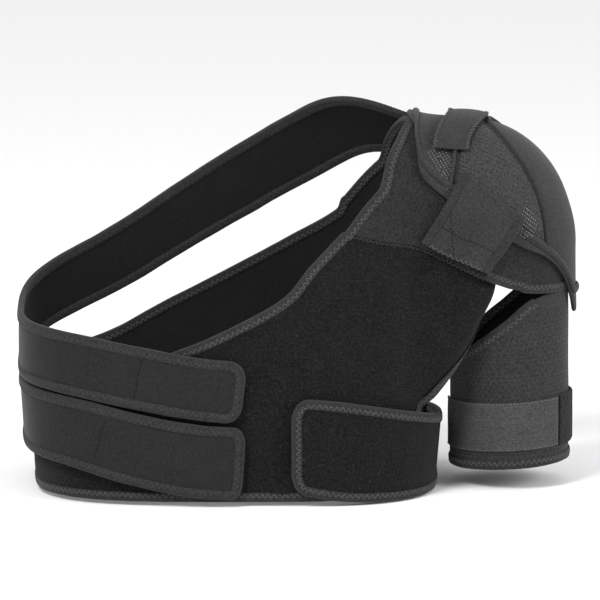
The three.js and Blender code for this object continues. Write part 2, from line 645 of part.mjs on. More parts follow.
const sleeveRim = inward(sleeveGrid, sleeveGrid.length - 1, sleeveGrid.length - 2);
const openTurns = 6;
add('sleeve_top_binding', tape([...sleeveRim.slice(-openTurns), ...sleeveRim.slice(0, openTurns + 1)]),
  TAPE_COLOUR);

// The origin is the seat on top of the shoulder, under the yoke
const seat = castOut(bodyField, SHOULDER_CENTRE, new THREE.Vector3(0, 0, 1), 0, CHEST_WIDTH);
brace.position.copy(seat.p).negate();

export default brace;
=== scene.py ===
"""Shoulder brace in its worn form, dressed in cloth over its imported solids."""

import bpy
import numpy as np
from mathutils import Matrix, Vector


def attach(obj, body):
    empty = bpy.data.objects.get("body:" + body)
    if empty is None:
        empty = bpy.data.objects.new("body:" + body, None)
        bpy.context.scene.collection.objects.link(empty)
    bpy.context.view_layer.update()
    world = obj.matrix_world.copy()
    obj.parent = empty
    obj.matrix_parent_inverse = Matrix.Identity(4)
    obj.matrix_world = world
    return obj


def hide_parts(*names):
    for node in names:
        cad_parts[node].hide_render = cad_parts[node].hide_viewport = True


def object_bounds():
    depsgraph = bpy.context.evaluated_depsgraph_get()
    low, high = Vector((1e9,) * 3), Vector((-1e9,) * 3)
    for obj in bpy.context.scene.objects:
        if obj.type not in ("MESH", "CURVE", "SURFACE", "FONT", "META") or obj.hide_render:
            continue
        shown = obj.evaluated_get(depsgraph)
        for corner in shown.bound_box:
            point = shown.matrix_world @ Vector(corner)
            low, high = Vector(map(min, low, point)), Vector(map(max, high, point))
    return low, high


bl_info = {
    "name": "Shoulder brace",
    "version": (1, 0, 0),
    "blender": (4, 5, 0),
    "location": "3D View > Sidebar > Brace",
    "description": "Dresses the packed shoulder brace in cloth, tape and thread",
    "category": "Object",
}

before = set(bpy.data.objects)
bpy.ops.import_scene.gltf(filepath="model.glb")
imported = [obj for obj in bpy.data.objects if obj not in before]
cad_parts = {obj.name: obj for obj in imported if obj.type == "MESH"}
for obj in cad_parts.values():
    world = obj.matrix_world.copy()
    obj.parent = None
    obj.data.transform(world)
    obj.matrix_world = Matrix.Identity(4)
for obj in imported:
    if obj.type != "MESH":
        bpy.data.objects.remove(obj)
CAD_BOX = [list(corner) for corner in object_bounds()]
MM = 0.001

# Form that the brace is worn on, in millimetres, as in the solids
HALF_WIDTH = 172.5
HALF_DEPTH = 120.0
CHEST_FLARE = 0.09
CHEST_ROUNDNESS = 3.2
TORSO_TOP = 345.0
SHOULDER_HEIGHT = 318.0
SHOULDER_BAR_RADIUS = 68.0
ARM_REACH = 250.0
ARM_RADIUS = 50.0
DELTOID_BULGE = 26.0
ARMPIT_BLEND = 32.0
ARMPIT_FOLD_RADIUS = 22.0
FABRIC = 3.5
TAPE = 0.6
TAPE_CLEARANCE = 0.65
LAYER_CLEARANCE = 1.4
PAD_CLEARANCE = 2.9
TRIM_CLEARANCE = 0.6
STRAP_WIDTH = 53.0
STRAP_END_RADIUS = 15.0
STRAP_RUN = 4.3 * HALF_WIDTH
SLEEVE_HEM_HEIGHT = 16.0
ELASTIC_WIDTH = 44.0
PAD_THICKNESS = 4.5
TRIM_THICKNESS = 1.4
PIPING_DIAMETER = 3.0
BORDER_WIDTH = 7.0
TOP_STRAP_WIDTH = 33.0
TAB_THICKNESS = 2.0
CORNER = 0.68 * HALF_WIDTH
SIDE_ARC = 1.49 * HALF_WIDTH
OVER_FABRIC = FABRIC + 2 * (TAPE_CLEARANCE + TAPE) + LAYER_CLEARANCE
OVER_YOKE = FABRIC + PAD_CLEARANCE
BLADE_RADIUS = 0.75 * HALF_DEPTH
REACH = 2 * HALF_WIDTH
SHOULDER_CENTRE = np.array([0.78 * ARM_REACH, 0.0, 0.7 * SHOULDER_HEIGHT])


def mix(a, b, t):
    return a + (b - a) * t


def ease(low, high, value):
    t = np.clip((value - low) / (high - low), 0, 1)
    return t * t * (3 - 2 * t)


def torso_field(x, y, z):
    half = HALF_WIDTH + CHEST_FLARE * np.maximum(z, 0)
    across = np.abs(x / half) ** CHEST_ROUNDNESS + np.abs(y / HALF_DEPTH) ** CHEST_ROUNDNESS
    up = np.maximum(z / TORSO_TOP, 0) ** 3
    return ((across ** (3 / CHEST_ROUNDNESS) + up) ** (1 / 3) - 1) * HALF_DEPTH


def bar_field(x, y, z):
    start, end = 0.16 * ARM_REACH, 0.8 * ARM_REACH
    t = np.clip((x - start) / (end - start), 0, 1)
    rise = mix(SHOULDER_HEIGHT - 52, SHOULDER_HEIGHT - 76, t)
    return np.sqrt((x - mix(start, end, t)) ** 2 + y**2 + (z - rise) ** 2) - SHOULDER_BAR_RADIUS


def arm_section(z):
    widen = ease(0.34 * SHOULDER_HEIGHT, 0.67 * SHOULDER_HEIGHT, z)
    centre = ARM_REACH - 1.08 * DELTOID_BULGE * widen
    return centre, ARM_RADIUS + DELTOID_BULGE * widen, ARM_RADIUS + 2 + 0.5 * DELTOID_BULGE * widen


def arm_field(x, y, z):
    centre, rx, ry = arm_section(z)
    up = np.maximum((z - 0.67 * SHOULDER_HEIGHT) / (0.28 * SHOULDER_HEIGHT), 0)
    return (np.sqrt(((x - centre) / rx) ** 2 + (y / ry) ** 2 + up**2) - 1) * ry


def fold_field(x, y, z):
    low_x, high_x = 0.96 * HALF_WIDTH, 0.85 * ARM_REACH
    low_z, high_z = 0.31 * SHOULDER_HEIGHT, 0.57 * SHOULDER_HEIGHT
    run, rise = high_x - low_x, high_z - low_z
    t = np.clip(((x - low_x) * run + (z - low_z) * rise) / (run**2 + rise**2), 0, 1)
    depth = np.abs(y) - 0.5 * HALF_DEPTH
    across = (x - low_x - t * run) ** 2 + depth**2 + (z - low_z - t * rise) ** 2
    return np.sqrt(across) - ARMPIT_FOLD_RADIUS


def blend_min(a, b, reach):
    h = np.clip(0.5 + 0.5 * (b - a) / reach, 0, 1)
    return mix(b, a, h) - reach * h * (1 - h)


def trunk_field(x, y, z):
    reach = 4 + (ARMPIT_BLEND - 4) * ease(0.22 * SHOULDER_HEIGHT, 0.7 * SHOULDER_HEIGHT, z)
    trunk = blend_min(torso_field(x, y, z), bar_field(x, y, z), reach)
    return blend_min(trunk, fold_field(x, y, z), reach)


def body_field(x, y, z):
    reach = 4 + (ARMPIT_BLEND - 4) * ease(0.22 * SHOULDER_HEIGHT, 0.7 * SHOULDER_HEIGHT, z)
    return blend_min(trunk_field(x, y, z), arm_field(x, y, z), reach)


def unit(v):
    return v / np.maximum(np.linalg.norm(v, axis=-1, keepdims=True), 1e-9)


def stack(x, y, z):
    return np.stack(np.broadcast_arrays(x, y, z), -1).astype(float)


class Skin:
    """Points of the form with their outward normals."""

    def __init__(self, p, n):
        self.p = p
        self.n = n

    def __getitem__(self, key):
        return Skin(self.p[key], self.n[key])

    def up(self, height):
        return self.p + self.n * np.asarray(height)[..., None]


def cast_out(field, origin, direction, near, far):
    """The skin of a field as met from an origin along a direction, between two distances."""
    origin, direction = np.broadcast_arrays(origin, direction)
    low = np.zeros(origin.shape[:-1]) + near
    high = np.zeros(origin.shape[:-1]) + far
    for _ in range(30):
        middle = (low + high) / 2
        p = origin + direction * middle[..., None]
        inside = field(p[..., 0], p[..., 1], p[..., 2]) < 0
        low = np.where(inside, middle, low)
        high = np.where(inside, high, middle)
    p = origin + direction * low[..., None]
    slopes = []
    for axis in range(3):
        step = np.zeros(3)
        step[axis] = 3
        ahead, behind = p + step, p - step
        slopes.append(field(*np.moveaxis(ahead, -1, 0)) - field(*np.moveaxis(behind, -1, 0)))
    return Skin(p, unit(np.stack(slopes, -1)))


def face(x, z, side):
    """The front of the form where side is -1, or its back where it is 1."""
    x, z = np.broadcast_arrays(np.asarray(x, float), np.asarray(z, float))
    near = np.where(body_field(x, 0.5 * HALF_DEPTH, z) < 0, 0.5 * HALF_DEPTH, 0)
    return cast_out(body_field, stack(x, 0, z), stack(0 * x, side, 0), near, 2 * HALF_DEPTH)


def blade(x, z):
    """The back of the form, bending over the shoulder above its centre."""
    over = np.maximum(z - SHOULDER_CENTRE[2], 0)
    lean = np.maximum(np.pi / 2 - over / BLADE_RADIUS, 0)
    flat = body_field(x, 0.5 * HALF_DEPTH, z) < 0
    near = np.where((over == 0) & flat, 0.5 * HALF_DEPTH, 0)
    origin = stack(x, 0, np.minimum(z, SHOULDER_CENTRE[2]))
    return cast_out(body_field, origin, stack(0, np.sin(lean), np.cos(lean)), near, REACH)


def belt(g, z):
    """A point g round the chest from its front middle, at a height."""
    g, z = np.broadcast_arrays(np.asarray(g, float), np.asarray(z, float))
    sign = np.where(g < 0, -1.0, 1.0)
    way = np.abs(g)
    front = face(np.clip(g, -CORNER, CORNER), z, -1)
    back = blade(sign * (2 * CORNER + SIDE_ARC - np.maximum(way, CORNER + SIDE_ARC)), z)
    first = np.arctan2(CORNER, np.abs(face(sign * CORNER, z, -1).p[..., 1]))
    angle = mix(first, np.pi - first, (way - CORNER) / SIDE_ARC)
    side = cast_out(trunk_field, stack(0, 0, z), stack(sign * np.sin(angle), -np.cos(angle), 0), 0, REACH)
    at_front = (way <= CORNER)[..., None]
    at_back = (way >= CORNER + SIDE_ARC)[..., None]

    def pick(first, second, third):
        return np.where(at_front, first, np.where(at_back, second, third))

    return Skin(pick(front.p, back.p, side.p), pick(front.n, back.n, side.n))


def from_shoulder(aim):
    return cast_out(body_field, SHOULDER_CENTRE, unit(aim - SHOULDER_CENTRE), 0, REACH)


def shoulder_aim(a, b, t):
    start, end = unit(a - SHOULDER_CENTRE), unit(b - SHOULDER_CENTRE)
    angle = np.arccos(np.clip((start * end).sum(-1, keepdims=True), -1, 1))
    t = np.asarray(t, float)[..., None]
    return unit(start * np.sin((1 - t) * angle) + end * np.sin(t * angle))


def over_shoulder(a, b, t):
    return cast_out(body_field, SHOULDER_CENTRE, shoulder_aim(a, b, t), 0, REACH)


def arm_point(turn, z):
    turn, z = np.broadcast_arrays(np.asarray(turn, float), np.asarray(z, float))
    centre = arm_section(z)[0]
    return cast_out(arm_field, stack(centre, 0, z), stack(-np.cos(turn), -np.sin(turn), 0), 0, REACH)


def through(rows, key):
    """The columns of a table at a key, smoothly through its rows."""
    rows = np.asarray(rows, float)
    key = np.asarray(key, float)
    last = len(rows) - 1
    i = np.searchsorted(rows[1:last, 0], key, side="left")
    here, ahead = rows[i], rows[i + 1]
    before, after = rows[np.maximum(i - 1, 0)], rows[np.minimum(i + 2, last)]
    span = (ahead[..., :1] - here[..., :1])
    t = np.clip((key[..., None] - here[..., :1]) / span, 0, 1)
    m0 = span * (ahead - before) / (ahead[..., :1] - before[..., :1])
    m1 = span * (after - here) / (after[..., :1] - here[..., :1])
    value = (2 * t**3 - 3 * t**2 + 1) * here + (t**3 - 2 * t**2 + t) * m0
    value = value + (3 * t**2 - 2 * t**3) * ahead + (t**3 - t**2) * m1
    return value[..., 1:]


def read_line(points, share):
    points = np.asarray(points, float)
    steps = np.hypot(np.diff(points[:, 0]), np.diff(points[:, 1]))
    lengths = np.concatenate([[0], np.cumsum(steps)])
    return through(np.column_stack([lengths / lengths[-1], points]), share)


def spans(length, spacing):
    """Shares of a length, spaced evenly, with closer ones at the two ends."""
    count = max(int(round(length / spacing)), 2)
    even = np.linspace(0, 1, count + 1)
    close = np.array([0.3, 0.8, 1.5]) / length
    return np.unique(np.concatenate([even, close, 1 - close]))


# Chest and back panels: [round the chest / half width, height / shoulder height]
CHEST_TOP = [
    [-1.548, 0.27], [-0.69, 0.35], [-0.25, 0.425], [0.04, 0.494], [0.28, 0.57], [0.41, 0.653],
    [0.55, 0.73], [0.587, 0.745],
]
BACK_TOP = [
    [-1.3, 0.27], [-0.69, 0.34], [-0.342, 0.436], [0, 0.532], [0.306, 0.624], [0.55, 0.705], [0.587, 0.745],
]
SEAM = [[0.587, 0.745], [0.748, 0.72], [0.975, 0.695], [1.3, 0.608]]
ARM_EDGE = [
    [0.98, 0], [0.985, 0.1], [0.995, 0.19], [1.02, 0.25], [1.07, 0.31], [1.14, 0.38], [1.19, 0.44],
    [1.26, 0.535], [1.3, 0.608],
]
# Yoke: [share, neck x / half width, neck z / shoulder height, arm x / arm reach, arm z / shoulder height]
YOKE = [
    [0, 0.587, 0.745, 0.897, 0.608],
    [0.12, 0.724, 0.858, 0.985, 0.572],
    [0.24, 0.794, 0.925, 1.07, 0.555],
    [0.36, 0.864, 0.988, 1.15, 0.548],
    [0.5, 0.92, 1.03, 1.2, 0.548],
]
SEAM_EASE = 0.14
SEAM_LAP = 0.4
CHEST_END, BACK_END = -1.548, -1.3
# Side flap: [share, round the chest / half width, low and high edge / shoulder height]
FLAP = [
    [0, 0.316, 0.07, 0.243], [0.04, 0.342, 0.035, 0.273], [0.1, 0.4, 0.018, 0.286],
    [0.3, 0.675, -0.004, 0.265], [0.55, 1.2, -0.008, 0.202], [0.75, 1.7, -0.006, 0.172], [1, 2.25, 0, 0.162],
]
# Straps: [round the chest / half width, height / shoulder height, width / strap width]
UPPER_STRAP = [
    [0.06, 0.307, 1], [-0.2, 0.322, 1], [-0.5, 0.351, 1], [-0.84, 0.383, 1], [-1.43, 0.41, 1],
    [-1.73, 0.437, 1], [-2.18, 0.54, 1], [-2.53, 0.655, 1], [-2.88, 0.766, 1],
    [-3.22, 0.862, 1], [-3.42, 0.925, 0.98], [-3.58, 0.955, 0.96], [-3.82, 0.96, 0.9],
]
LOWER_STRAP = [
    [0.06, 0.107, 1.2], [-0.2, 0.117, 1.19], [-0.5, 0.149, 1.16], [-0.84, 0.192, 1.12], [-1.43, 0.214, 1.08],
    [-2.0, 0.205, 1], [-2.6, 0.2, 1.02],
]
# Sleeve: [turn from the armpit / half turn, top edge / shoulder height]
SLEEVE_TOP = [[0, 0.345], [0.22, 0.375], [0.5, 0.462], [0.68, 0.526], [0.82, 0.5455], [1, 0.5455]]
# Cup: [share, front edge x / arm reach, y / arm radius, z / shoulder height, crown lean in degrees]
CUP = [
    [0, 0.635, -0.55, 1.02, -22], [0.1, 0.645, -1.15, 0.955, -15.5], [0.2, 0.665, -1.4, 0.895, -10],
    [0.34, 0.78, -1.45, 0.82, 6], [0.5, 0.91, -1.35, 0.74, 38], [0.65, 1.03, -1.25, 0.69, 68],
    [0.8, 1.12, -0.95, 0.65, 94], [0.9, 1.18, -0.62, 0.585, 109],
    [0.96, 1.21, -0.34, 0.51, 118], [1, 1.22, -0.12, 0.46, 124],
]
# Corners of the front tab as seen from the front: [x / arm reach, z / shoulder height]
TAB = {"top_inner": [0.825, 0.885], "top_outer": [1.015, 0.765], "low_outer": [0.905, 0.616],
       "low_inner": [0.67, 0.714]}


def sized(rows):
    return np.asarray(rows, float) * [HALF_WIDTH, SHOULDER_HEIGHT]


def wrap_panel(top_rows, left_end, side, columns, rows):
    top, right = sized(top_rows + SEAM[1:]), sized(ARM_EDGE)
    left, corner = left_end * HALF_WIDTH, right[0, 0]
    t, s = rows[:, None], columns[None, :]
    high, rim = read_line(top, s), read_line(right, t)
    left_z = mix(0, top[0, 1], t)
    low = mix(left, corner, s)
    g = mix(low, high[..., 0], t) + mix(left, rim[..., 0], s) - mix(low, mix(top[0, 0], right[-1, 0], s), t)
    raised = high[..., 1] + SEAM_LAP
    z = mix(0, raised, t) + mix(left_z, rim[..., 1], s) - mix(0, mix(top[0, 1], right[-1, 1], s), t)
    z = np.maximum(z, 0)
    if side < 0:
        return belt(g, z)
    flipped = belt(np.where(g > -CORNER, -3 * CORNER, -(2 * CORNER + SIDE_ARC + g)), z)
    plain = face(np.maximum(g, -CORNER), z, side)
    near = (g > -CORNER)[..., None]
    return Skin(np.where(near, plain.p, flipped.p), np.where(near, plain.n, flipped.n))


def yoke_skin(share, across):
    share, across = np.broadcast_arrays(share[:, None], across[None, :])
    side = np.where(share <= 0.5, -1.0, 1.0)
    near = np.minimum(share, 1 - share)
    eased = np.maximum(near, SEAM_EASE)
    row = through(YOKE, eased)
    depth = side * np.cos(np.pi * eased) * HALF_DEPTH
    neck = stack(row[..., 0] * HALF_WIDTH, 0.8 * depth, row[..., 1] * SHOULDER_HEIGHT)
    height = row[..., 3] * SHOULDER_HEIGHT
    outward = row[..., 2] * ARM_REACH - arm_section(height)[0]
    loose = stack(row[..., 2] * ARM_REACH, 0.62 * depth, height)
    on_arm = arm_point(np.arctan2(-0.62 * depth, -outward), height).p
    arm = np.where((near > 0.2)[..., None], on_arm, loose)
    skin = over_shoulder(neck, arm, across)
    line = read_line(sized(SEAM), across)
    seam = face(line[..., 0], line[..., 1], side)
    return over_shoulder(seam.p, skin.p, np.clip(near / SEAM_EASE, 0, 1))


def strap_skin(table, keys, columns):
    route = np.asarray(table, float) * [HALF_WIDTH, SHOULDER_HEIGHT, STRAP_WIDTH]
    here = read_line(route, keys)
    ahead = read_line(route, np.minimum(keys + 0.01, 1))
    behind = read_line(route, np.maximum(keys - 0.01, 0))
    dg, dz = ahead[:, 0] - behind[:, 0], ahead[:, 1] - behind[:, 1]
    scale = 1 / np.hypot(dg, dz)
    reach = np.minimum(keys * STRAP_RUN, STRAP_END_RADIUS)
    shrink = STRAP_END_RADIUS - np.sqrt(STRAP_END_RADIUS**2 - (STRAP_END_RADIUS - reach) ** 2)
    half = here[:, 2] / 2 - shrink
    share = columns[None, :]
    g = here[:, None, 0] + (dz * scale * half)[:, None] * share
    z = here[:, None, 1] - (dg * scale * half)[:, None] * share
    return belt(g, np.maximum(z, 0))


def strap_keys(table, spacing):
    route = np.asarray(table, float) * [HALF_WIDTH, SHOULDER_HEIGHT, STRAP_WIDTH]
    length = np.hypot(np.diff(route[:, 0]), np.diff(route[:, 1])).sum()
    ends = np.array([0.01, 0.04, 0.1, 0.2, 0.33, 0.5, 0.7, 0.85]) * STRAP_END_RADIUS / STRAP_RUN
    return np.unique(np.concatenate([spans(length, spacing), ends]))


def hem_height(turn):
    return SLEEVE_HEM_HEIGHT - 3 * np.cos(turn)


def sleeve_top(turn):
    share = np.abs((turn / np.pi + 1) % 2 - 1)
    return through(SLEEVE_TOP, share)[..., 0] * SHOULDER_HEIGHT


def cup_skin(share, across):
    row = through(CUP, share)[:, None, :]
    front = stack(row[..., 0] * ARM_REACH, row[..., 1] * ARM_RADIUS, row[..., 2] * SHOULDER_HEIGHT)
    front = np.broadcast_to(front, (len(share), len(across), 3))
    back = front * [1, -1, 1]
    across = np.broadcast_to(across[None, :], front.shape[:2])
    lean = np.radians(row[..., 3])
    crown = stack(np.sin(lean), 0, np.cos(lean)) - shoulder_aim(front, back, 0.5 + 0 * across)
    aim = unit(shoulder_aim(front, back, across) + crown * np.sin(np.pi * across)[..., None])
    return cast_out(body_field, SHOULDER_CENTRE, aim, 0, REACH)


SEAT = cast_out(body_field, SHOULDER_CENTRE, np.array([0.0, 0.0, 1.0]), 0, REACH).p


def placed(points):
    """From the form's millimetres into the frame's metres."""
    return (np.asarray(points) - SEAT) * MM


def ripple(p, wavelength, seed):
    """Smooth unevenness between about -1 and 1."""
    rng = np.random.default_rng(seed)
    ways = unit(rng.normal(size=(7, 3)))
    turns = rng.uniform(0, 2 * np.pi, 7)
    pace = 2 * np.pi / wavelength * rng.uniform(0.6, 1.5, 7)
    return np.sin((p @ ways.T) * pace + turns).sum(-1) / 7**0.5


def run_of(p, axis):
    steps = np.linalg.norm(np.diff(p, axis=axis), axis=-1)
    zero = np.zeros_like(np.take(steps, [0], axis=axis))
    return np.concatenate([zero, np.cumsum(steps, axis=axis)], axis=axis)


def read_at(value, length, stops):
    """The rows of a table at stops along its length."""
    return np.stack([np.interp(stops, length, column) for column in value.T], -1)


def border_distance(skin, closed):
    down = run_of(skin.p, 0)
    rim = np.minimum(down, down[-1:] - down)
    if not closed:
        right = run_of(skin.p, 1)
        rim = np.minimum(rim, np.minimum(right, right[:, -1:] - right))
    return rim


# Meshes

def new_piece(name, vertices, faces, uv=None, materials=(), slots=None):
    mesh = bpy.data.meshes.new(name)
    mesh.from_pydata(placed(vertices).tolist(), [], faces)
    if uv is not None:
        layer = mesh.uv_layers.new(name="cloth")
        loops = np.zeros(len(mesh.loops), np.int32)
        mesh.loops.foreach_get("vertex_index", loops)
        layer.data.foreach_set("uv", (np.asarray(uv)[loops] * MM).astype(np.float32).ravel())
    for material in materials:
        mesh.materials.append(material)
    if slots is not None:
        mesh.polygons.foreach_set("material_index", np.asarray(slots, np.int32))
    mesh.polygons.foreach_set("use_smooth", np.ones(len(mesh.polygons), bool))
    mesh.update()
    piece = bpy.data.objects.new(name, mesh)
    bpy.context.scene.collection.objects.link(piece)
    return piece


def grid_faces(rows, columns, closed, base=0, flip=False):
    across = columns if closed else columns - 1
    i, j = np.meshgrid(np.arange(rows - 1), np.arange(across), indexing="ij")
    k = (j + 1) % columns
    quads = np.stack([i * columns + j, i * columns + k, (i + 1) * columns + k, (i + 1) * columns + j], -1)
    quads = quads.reshape(-1, 4) + base
    return quads[:, ::-1] if flip else quads


def cloth_wall(name, skin, low, high, outer, inner, closed=False, swell=0.0, round_edge=1.2):
    """A cloth wall with rounded edges. swell lifts its outer face point by point."""
    rows, columns = skin.p.shape[:2]
    rim = border_distance(skin, closed)
    fall = np.clip(1 - rim / round_edge, 0, 1)
    soft = np.maximum(np.sqrt(1 - fall**2), 0.15)
    middle, half = (low + high) / 2, (high - low) / 2
    top = skin.up(middle + half * soft + swell * np.clip(rim / 4, 0, 1))
    bottom = skin.up(middle - half * soft + 0 * rim)
    u = run_of(skin.p, 1)
    v = run_of(skin.p, 0)
    uv = np.stack([u, v], -1).reshape(-1, 2)
    count = rows * columns
    outward = np.cross(top[1, 0] - top[0, 0], top[0, 1] - top[0, 0]) @ skin.n[0, 0] < 0
    faces = [grid_faces(rows, columns, closed, 0, not outward)]
    faces.append(grid_faces(rows, columns, closed, count, outward))
    loops = [np.arange(columns), (rows - 1) * columns + np.arange(columns)[::-1]]
    if closed:
        loops = [np.append(loop, loop[0]) for loop in loops]
    else:
        start = np.arange(rows - 1, -1, -1) * columns
        end = np.arange(rows) * columns + columns - 1
        loops += [start, end]
    for loop in loops:
        a, b = loop[:-1], loop[1:]
        wall = np.stack([b, a, a + count, b + count], -1)
        faces.append(wall if outward else wall[:, ::-1])
    quads = np.vstack(faces)
    slots = np.zeros(len(quads), int)
    slots[len(faces[0]):len(faces[0]) + len(faces[1])] = 1
    vertices = np.vstack([top.reshape(-1, 3), bottom.reshape(-1, 3)])
    return new_piece(name, vertices, quads.tolist(), np.vstack([uv, uv]), [outer, inner], slots)


class Edge:
    """A path along a cloth's edge, with the direction into the cloth."""

    ROWS = ("p", "n", "inward", "width", "lean")

    def __init__(self, skin, inside):
        self.p, self.n = skin.p, skin.n
        self.inward = inside.p - skin.p
        self.width = np.linalg.norm(self.inward, axis=-1, keepdims=True)
        self.lean = inside.n - skin.n

    def changed(self, change):
        """A copy with each of its tables passed through a function."""
        edge = Edge.__new__(Edge)
        for key in self.ROWS:
            setattr(edge, key, change(getattr(self, key)))
        return edge

    @classmethod
    def joined(cls, edges, gap=0.4):
        """Edges one after the other, without points closer than the gap."""
        whole = cls.__new__(cls)
        for key in cls.ROWS:
            setattr(whole, key, np.vstack([getattr(edge, key) for edge in edges]))
        keep = [0]
        for k, point in enumerate(whole.p):
            if np.linalg.norm(point - whole.p[keep[-1]]) > gap:
                keep.append(k)
        return whole.kept(keep)

    def reversed(self):
        return self.changed(lambda value: value[::-1])

    def kept(self, where):
        return self.changed(lambda value: value[where])

    def even(self, spacing, closed=False):
        """The same path at even distances."""
        whole = self.kept([*range(len(self.p)), 0]) if closed else self
        length = run_of(whole.p, 0)
        stops = np.linspace(0, length[-1], max(int(length[-1] / spacing), 3) + 1)
        if closed:
            stops = stops[:-1]
        edge = whole.changed(lambda value: read_at(value, length, stops))
        edge.n = unit(edge.n)
        return edge

    def at(self, out, up):
        """Points at out millimetres beyond the edge, inside it below zero, and up above the skin."""
        out = np.asarray(out, float)
        share = (-out / self.width[:, 0])[..., None]
        normal = unit(self.n + self.lean * np.maximum(share, 0))
        return self.p + self.inward * share + normal * np.asarray(up, float)[..., None], normal


def edge_of(skin, which, reach=9.0):
    """One border of a grid as an Edge. which is first, last, start or end."""
    p, n = skin.p, skin.n
    if which in ("start", "end"):
        p, n = np.swapaxes(p, 0, 1), np.swapaxes(n, 0, 1)
    if which in ("last", "end"):
        p, n = p[::-1], n[::-1]
    steps = np.median(np.linalg.norm(p[1:] - p[:1], axis=-1), axis=1)
    k = min(int(np.searchsorted(steps, reach)) + 1, len(p) - 1)
    return Edge(Skin(p[0], n[0]), Skin(p[k], n[k]))


def over_the_arm(edge):
    """The yoke's arm edge with its inward direction square to its path and above it."""
    across = unit(np.cross(edge.n, np.gradient(edge.p, axis=0)))
    across = across * np.where(across[:, 2:] < 0, -1, 1)
    return Edge(edge, from_shoulder(edge.p + 9 * across))


def squared(edge, field, closed=False):
    """The edge with its inward direction square to its path, on the skin of a field."""
    if closed:
        tangent = np.roll(edge.p, -1, 0) - np.roll(edge.p, 1, 0)
    else:
        tangent = np.gradient(edge.p, axis=0)
        for _ in range(2):
            tangent[1:-1] = (tangent[:-2] + 2 * tangent[1:-1] + tangent[2:]) / 4
    across = unit(np.cross(edge.n, tangent))
    across = across * np.sign((across * edge.inward).sum())
    aim = edge.p + 8 * across
    skin = cast_out(field, aim - 10 * edge.n, edge.n, 0, 20)
    near = np.linalg.norm(skin.p - aim, axis=-1) < 5
    inside = Skin(np.where(near[:, None], skin.p, aim), np.where(near[:, None], skin.n, edge.n))
    return Edge(edge, inside)


def turn_outward(piece):
    """Turns a closed piece's faces outwards by the sign of its volume."""
    mesh = piece.data
    mesh.calc_loop_triangles()
    index = np.zeros(len(mesh.loop_triangles) * 3, np.int32)
    mesh.loop_triangles.foreach_get("vertices", index)
    co = np.zeros(len(mesh.vertices) * 3, np.float32)
    mesh.vertices.foreach_get("co", co)
    co = co.reshape(-1, 3)
    co = co - co.mean(0)
    a, b, c = (co[index.reshape(-1, 3)[:, k]] for k in range(3))
    if (a * np.cross(b, c)).sum() < 0:
        mesh.flip_normals()


def tube_piece(name, grid, material, closed, girth_step):
    """A closed tube through rings of points, with its two ends joined or capped."""
    count, sides = grid.shape[:2]
    ring, last = np.arange(sides), (count - 1) * sides
    faces = grid_faces(count, sides, True)
    if closed:
        ahead = (ring + 1) % sides
        faces = np.vstack([faces, np.stack([last + ring, last + ahead, ahead, ring], -1)]).tolist()
    else:
        faces = faces.tolist() + [ring[::-1].tolist(), (last + ring).tolist()]
    uv = np.stack([run_of(grid, 0).reshape(-1), np.tile(ring * girth_step, count)], -1)
    piece = new_piece(name, grid.reshape(-1, 3), faces, uv, [material])
    turn_outward(piece)
    return piece


def rings_along(edge, section):
    """Rings of points along an edge, one for each of its points, through a section of (out, up)."""
    zeros = np.zeros(len(edge.p))
    return np.stack([edge.at(out + zeros, up + zeros)[0] for out, up in section], 1)


# Where a tape's stitches lie, as a share of its width
SEAM_SHARE = 0.6


def tape_piece(name, edge, height, thickness, width, material, closed=False, pucker=0.1, pitch=2.6,
               spacing=1.3, field=trunk_field):
    """Fold-over tape round a cloth edge, slightly puckered by its stitches."""
    edge = squared(edge.even(spacing, closed), field, closed)
    stand = TAPE_CLEARANCE * 0.7
    top, bottom = height + thickness + stand, height - stand
    middle, half = (top + bottom) / 2, (top - bottom) / 2
    bends = np.linspace(np.pi / 2, -np.pi / 2, 7)[1:-1]
    crown = TAPE * 1.1
    face_side = [(-1, 0.1), (-0.93, TAPE), (-0.5, crown)]
    outer = [(share * width, top + rise) for share, rise in face_side] + [(-0.8, top + TAPE)]
    outer += [(-0.4 + 1.6 * np.cos(a), middle + (half + TAPE) * np.sin(a)) for a in bends]
    outer += [(-0.8, bottom - TAPE)] + [(share * width, bottom - rise) for share, rise in face_side[::-1]]
    inner = [(-width, bottom + 0.05), (-1.0, bottom + 0.05), (0.35, middle)]
    inner += [(-1.0, top - 0.05), (-width, top - 0.05)]
    count = len(edge.p)
    wave = pucker * np.cos(2 * np.pi * np.arange(count) * spacing / pitch)
    rings = []
    for k, (out, up) in enumerate(outer + inner):
        sign = 1 if up > middle else -1
        strength = 1.0 if k < len(outer) and -width * 0.95 < out < -0.6 else 0.15
        wobble = ripple(edge.p, 34, k % 3 + 5) * 0.14
        rings.append(edge.at(out + wobble, up + sign * wave * strength)[0])
    piece = tube_piece(name, np.stack(rings, 1), material, closed, 1.2)
    seam = -width * SEAM_SHARE + np.zeros(count)
    over = edge.at(seam, top + crown + np.zeros(count))
    under, normal = edge.at(seam, bottom - crown + np.zeros(count))
    return piece, [over, (under, -normal)]


# Repeated grains: stitches, perforations painted as near-black dots of shade, and mesh dots

def add_node(tree, kind, inputs=None, **settings):
    """A node with its settings. Each input takes a value or another node's socket."""
    node = tree.nodes.new(kind)
    for key, value in settings.items():
        setattr(node, key, value)
    for key, value in (inputs or {}).items():
        if isinstance(value, bpy.types.NodeSocket):
            tree.links.new(value, node.inputs[key])
        else:
            node.inputs[key].default_value = value
    return node


def maths(tree, operation, *values):
    return add_node(tree, "ShaderNodeMath", dict(enumerate(values)), operation=operation).outputs[0]


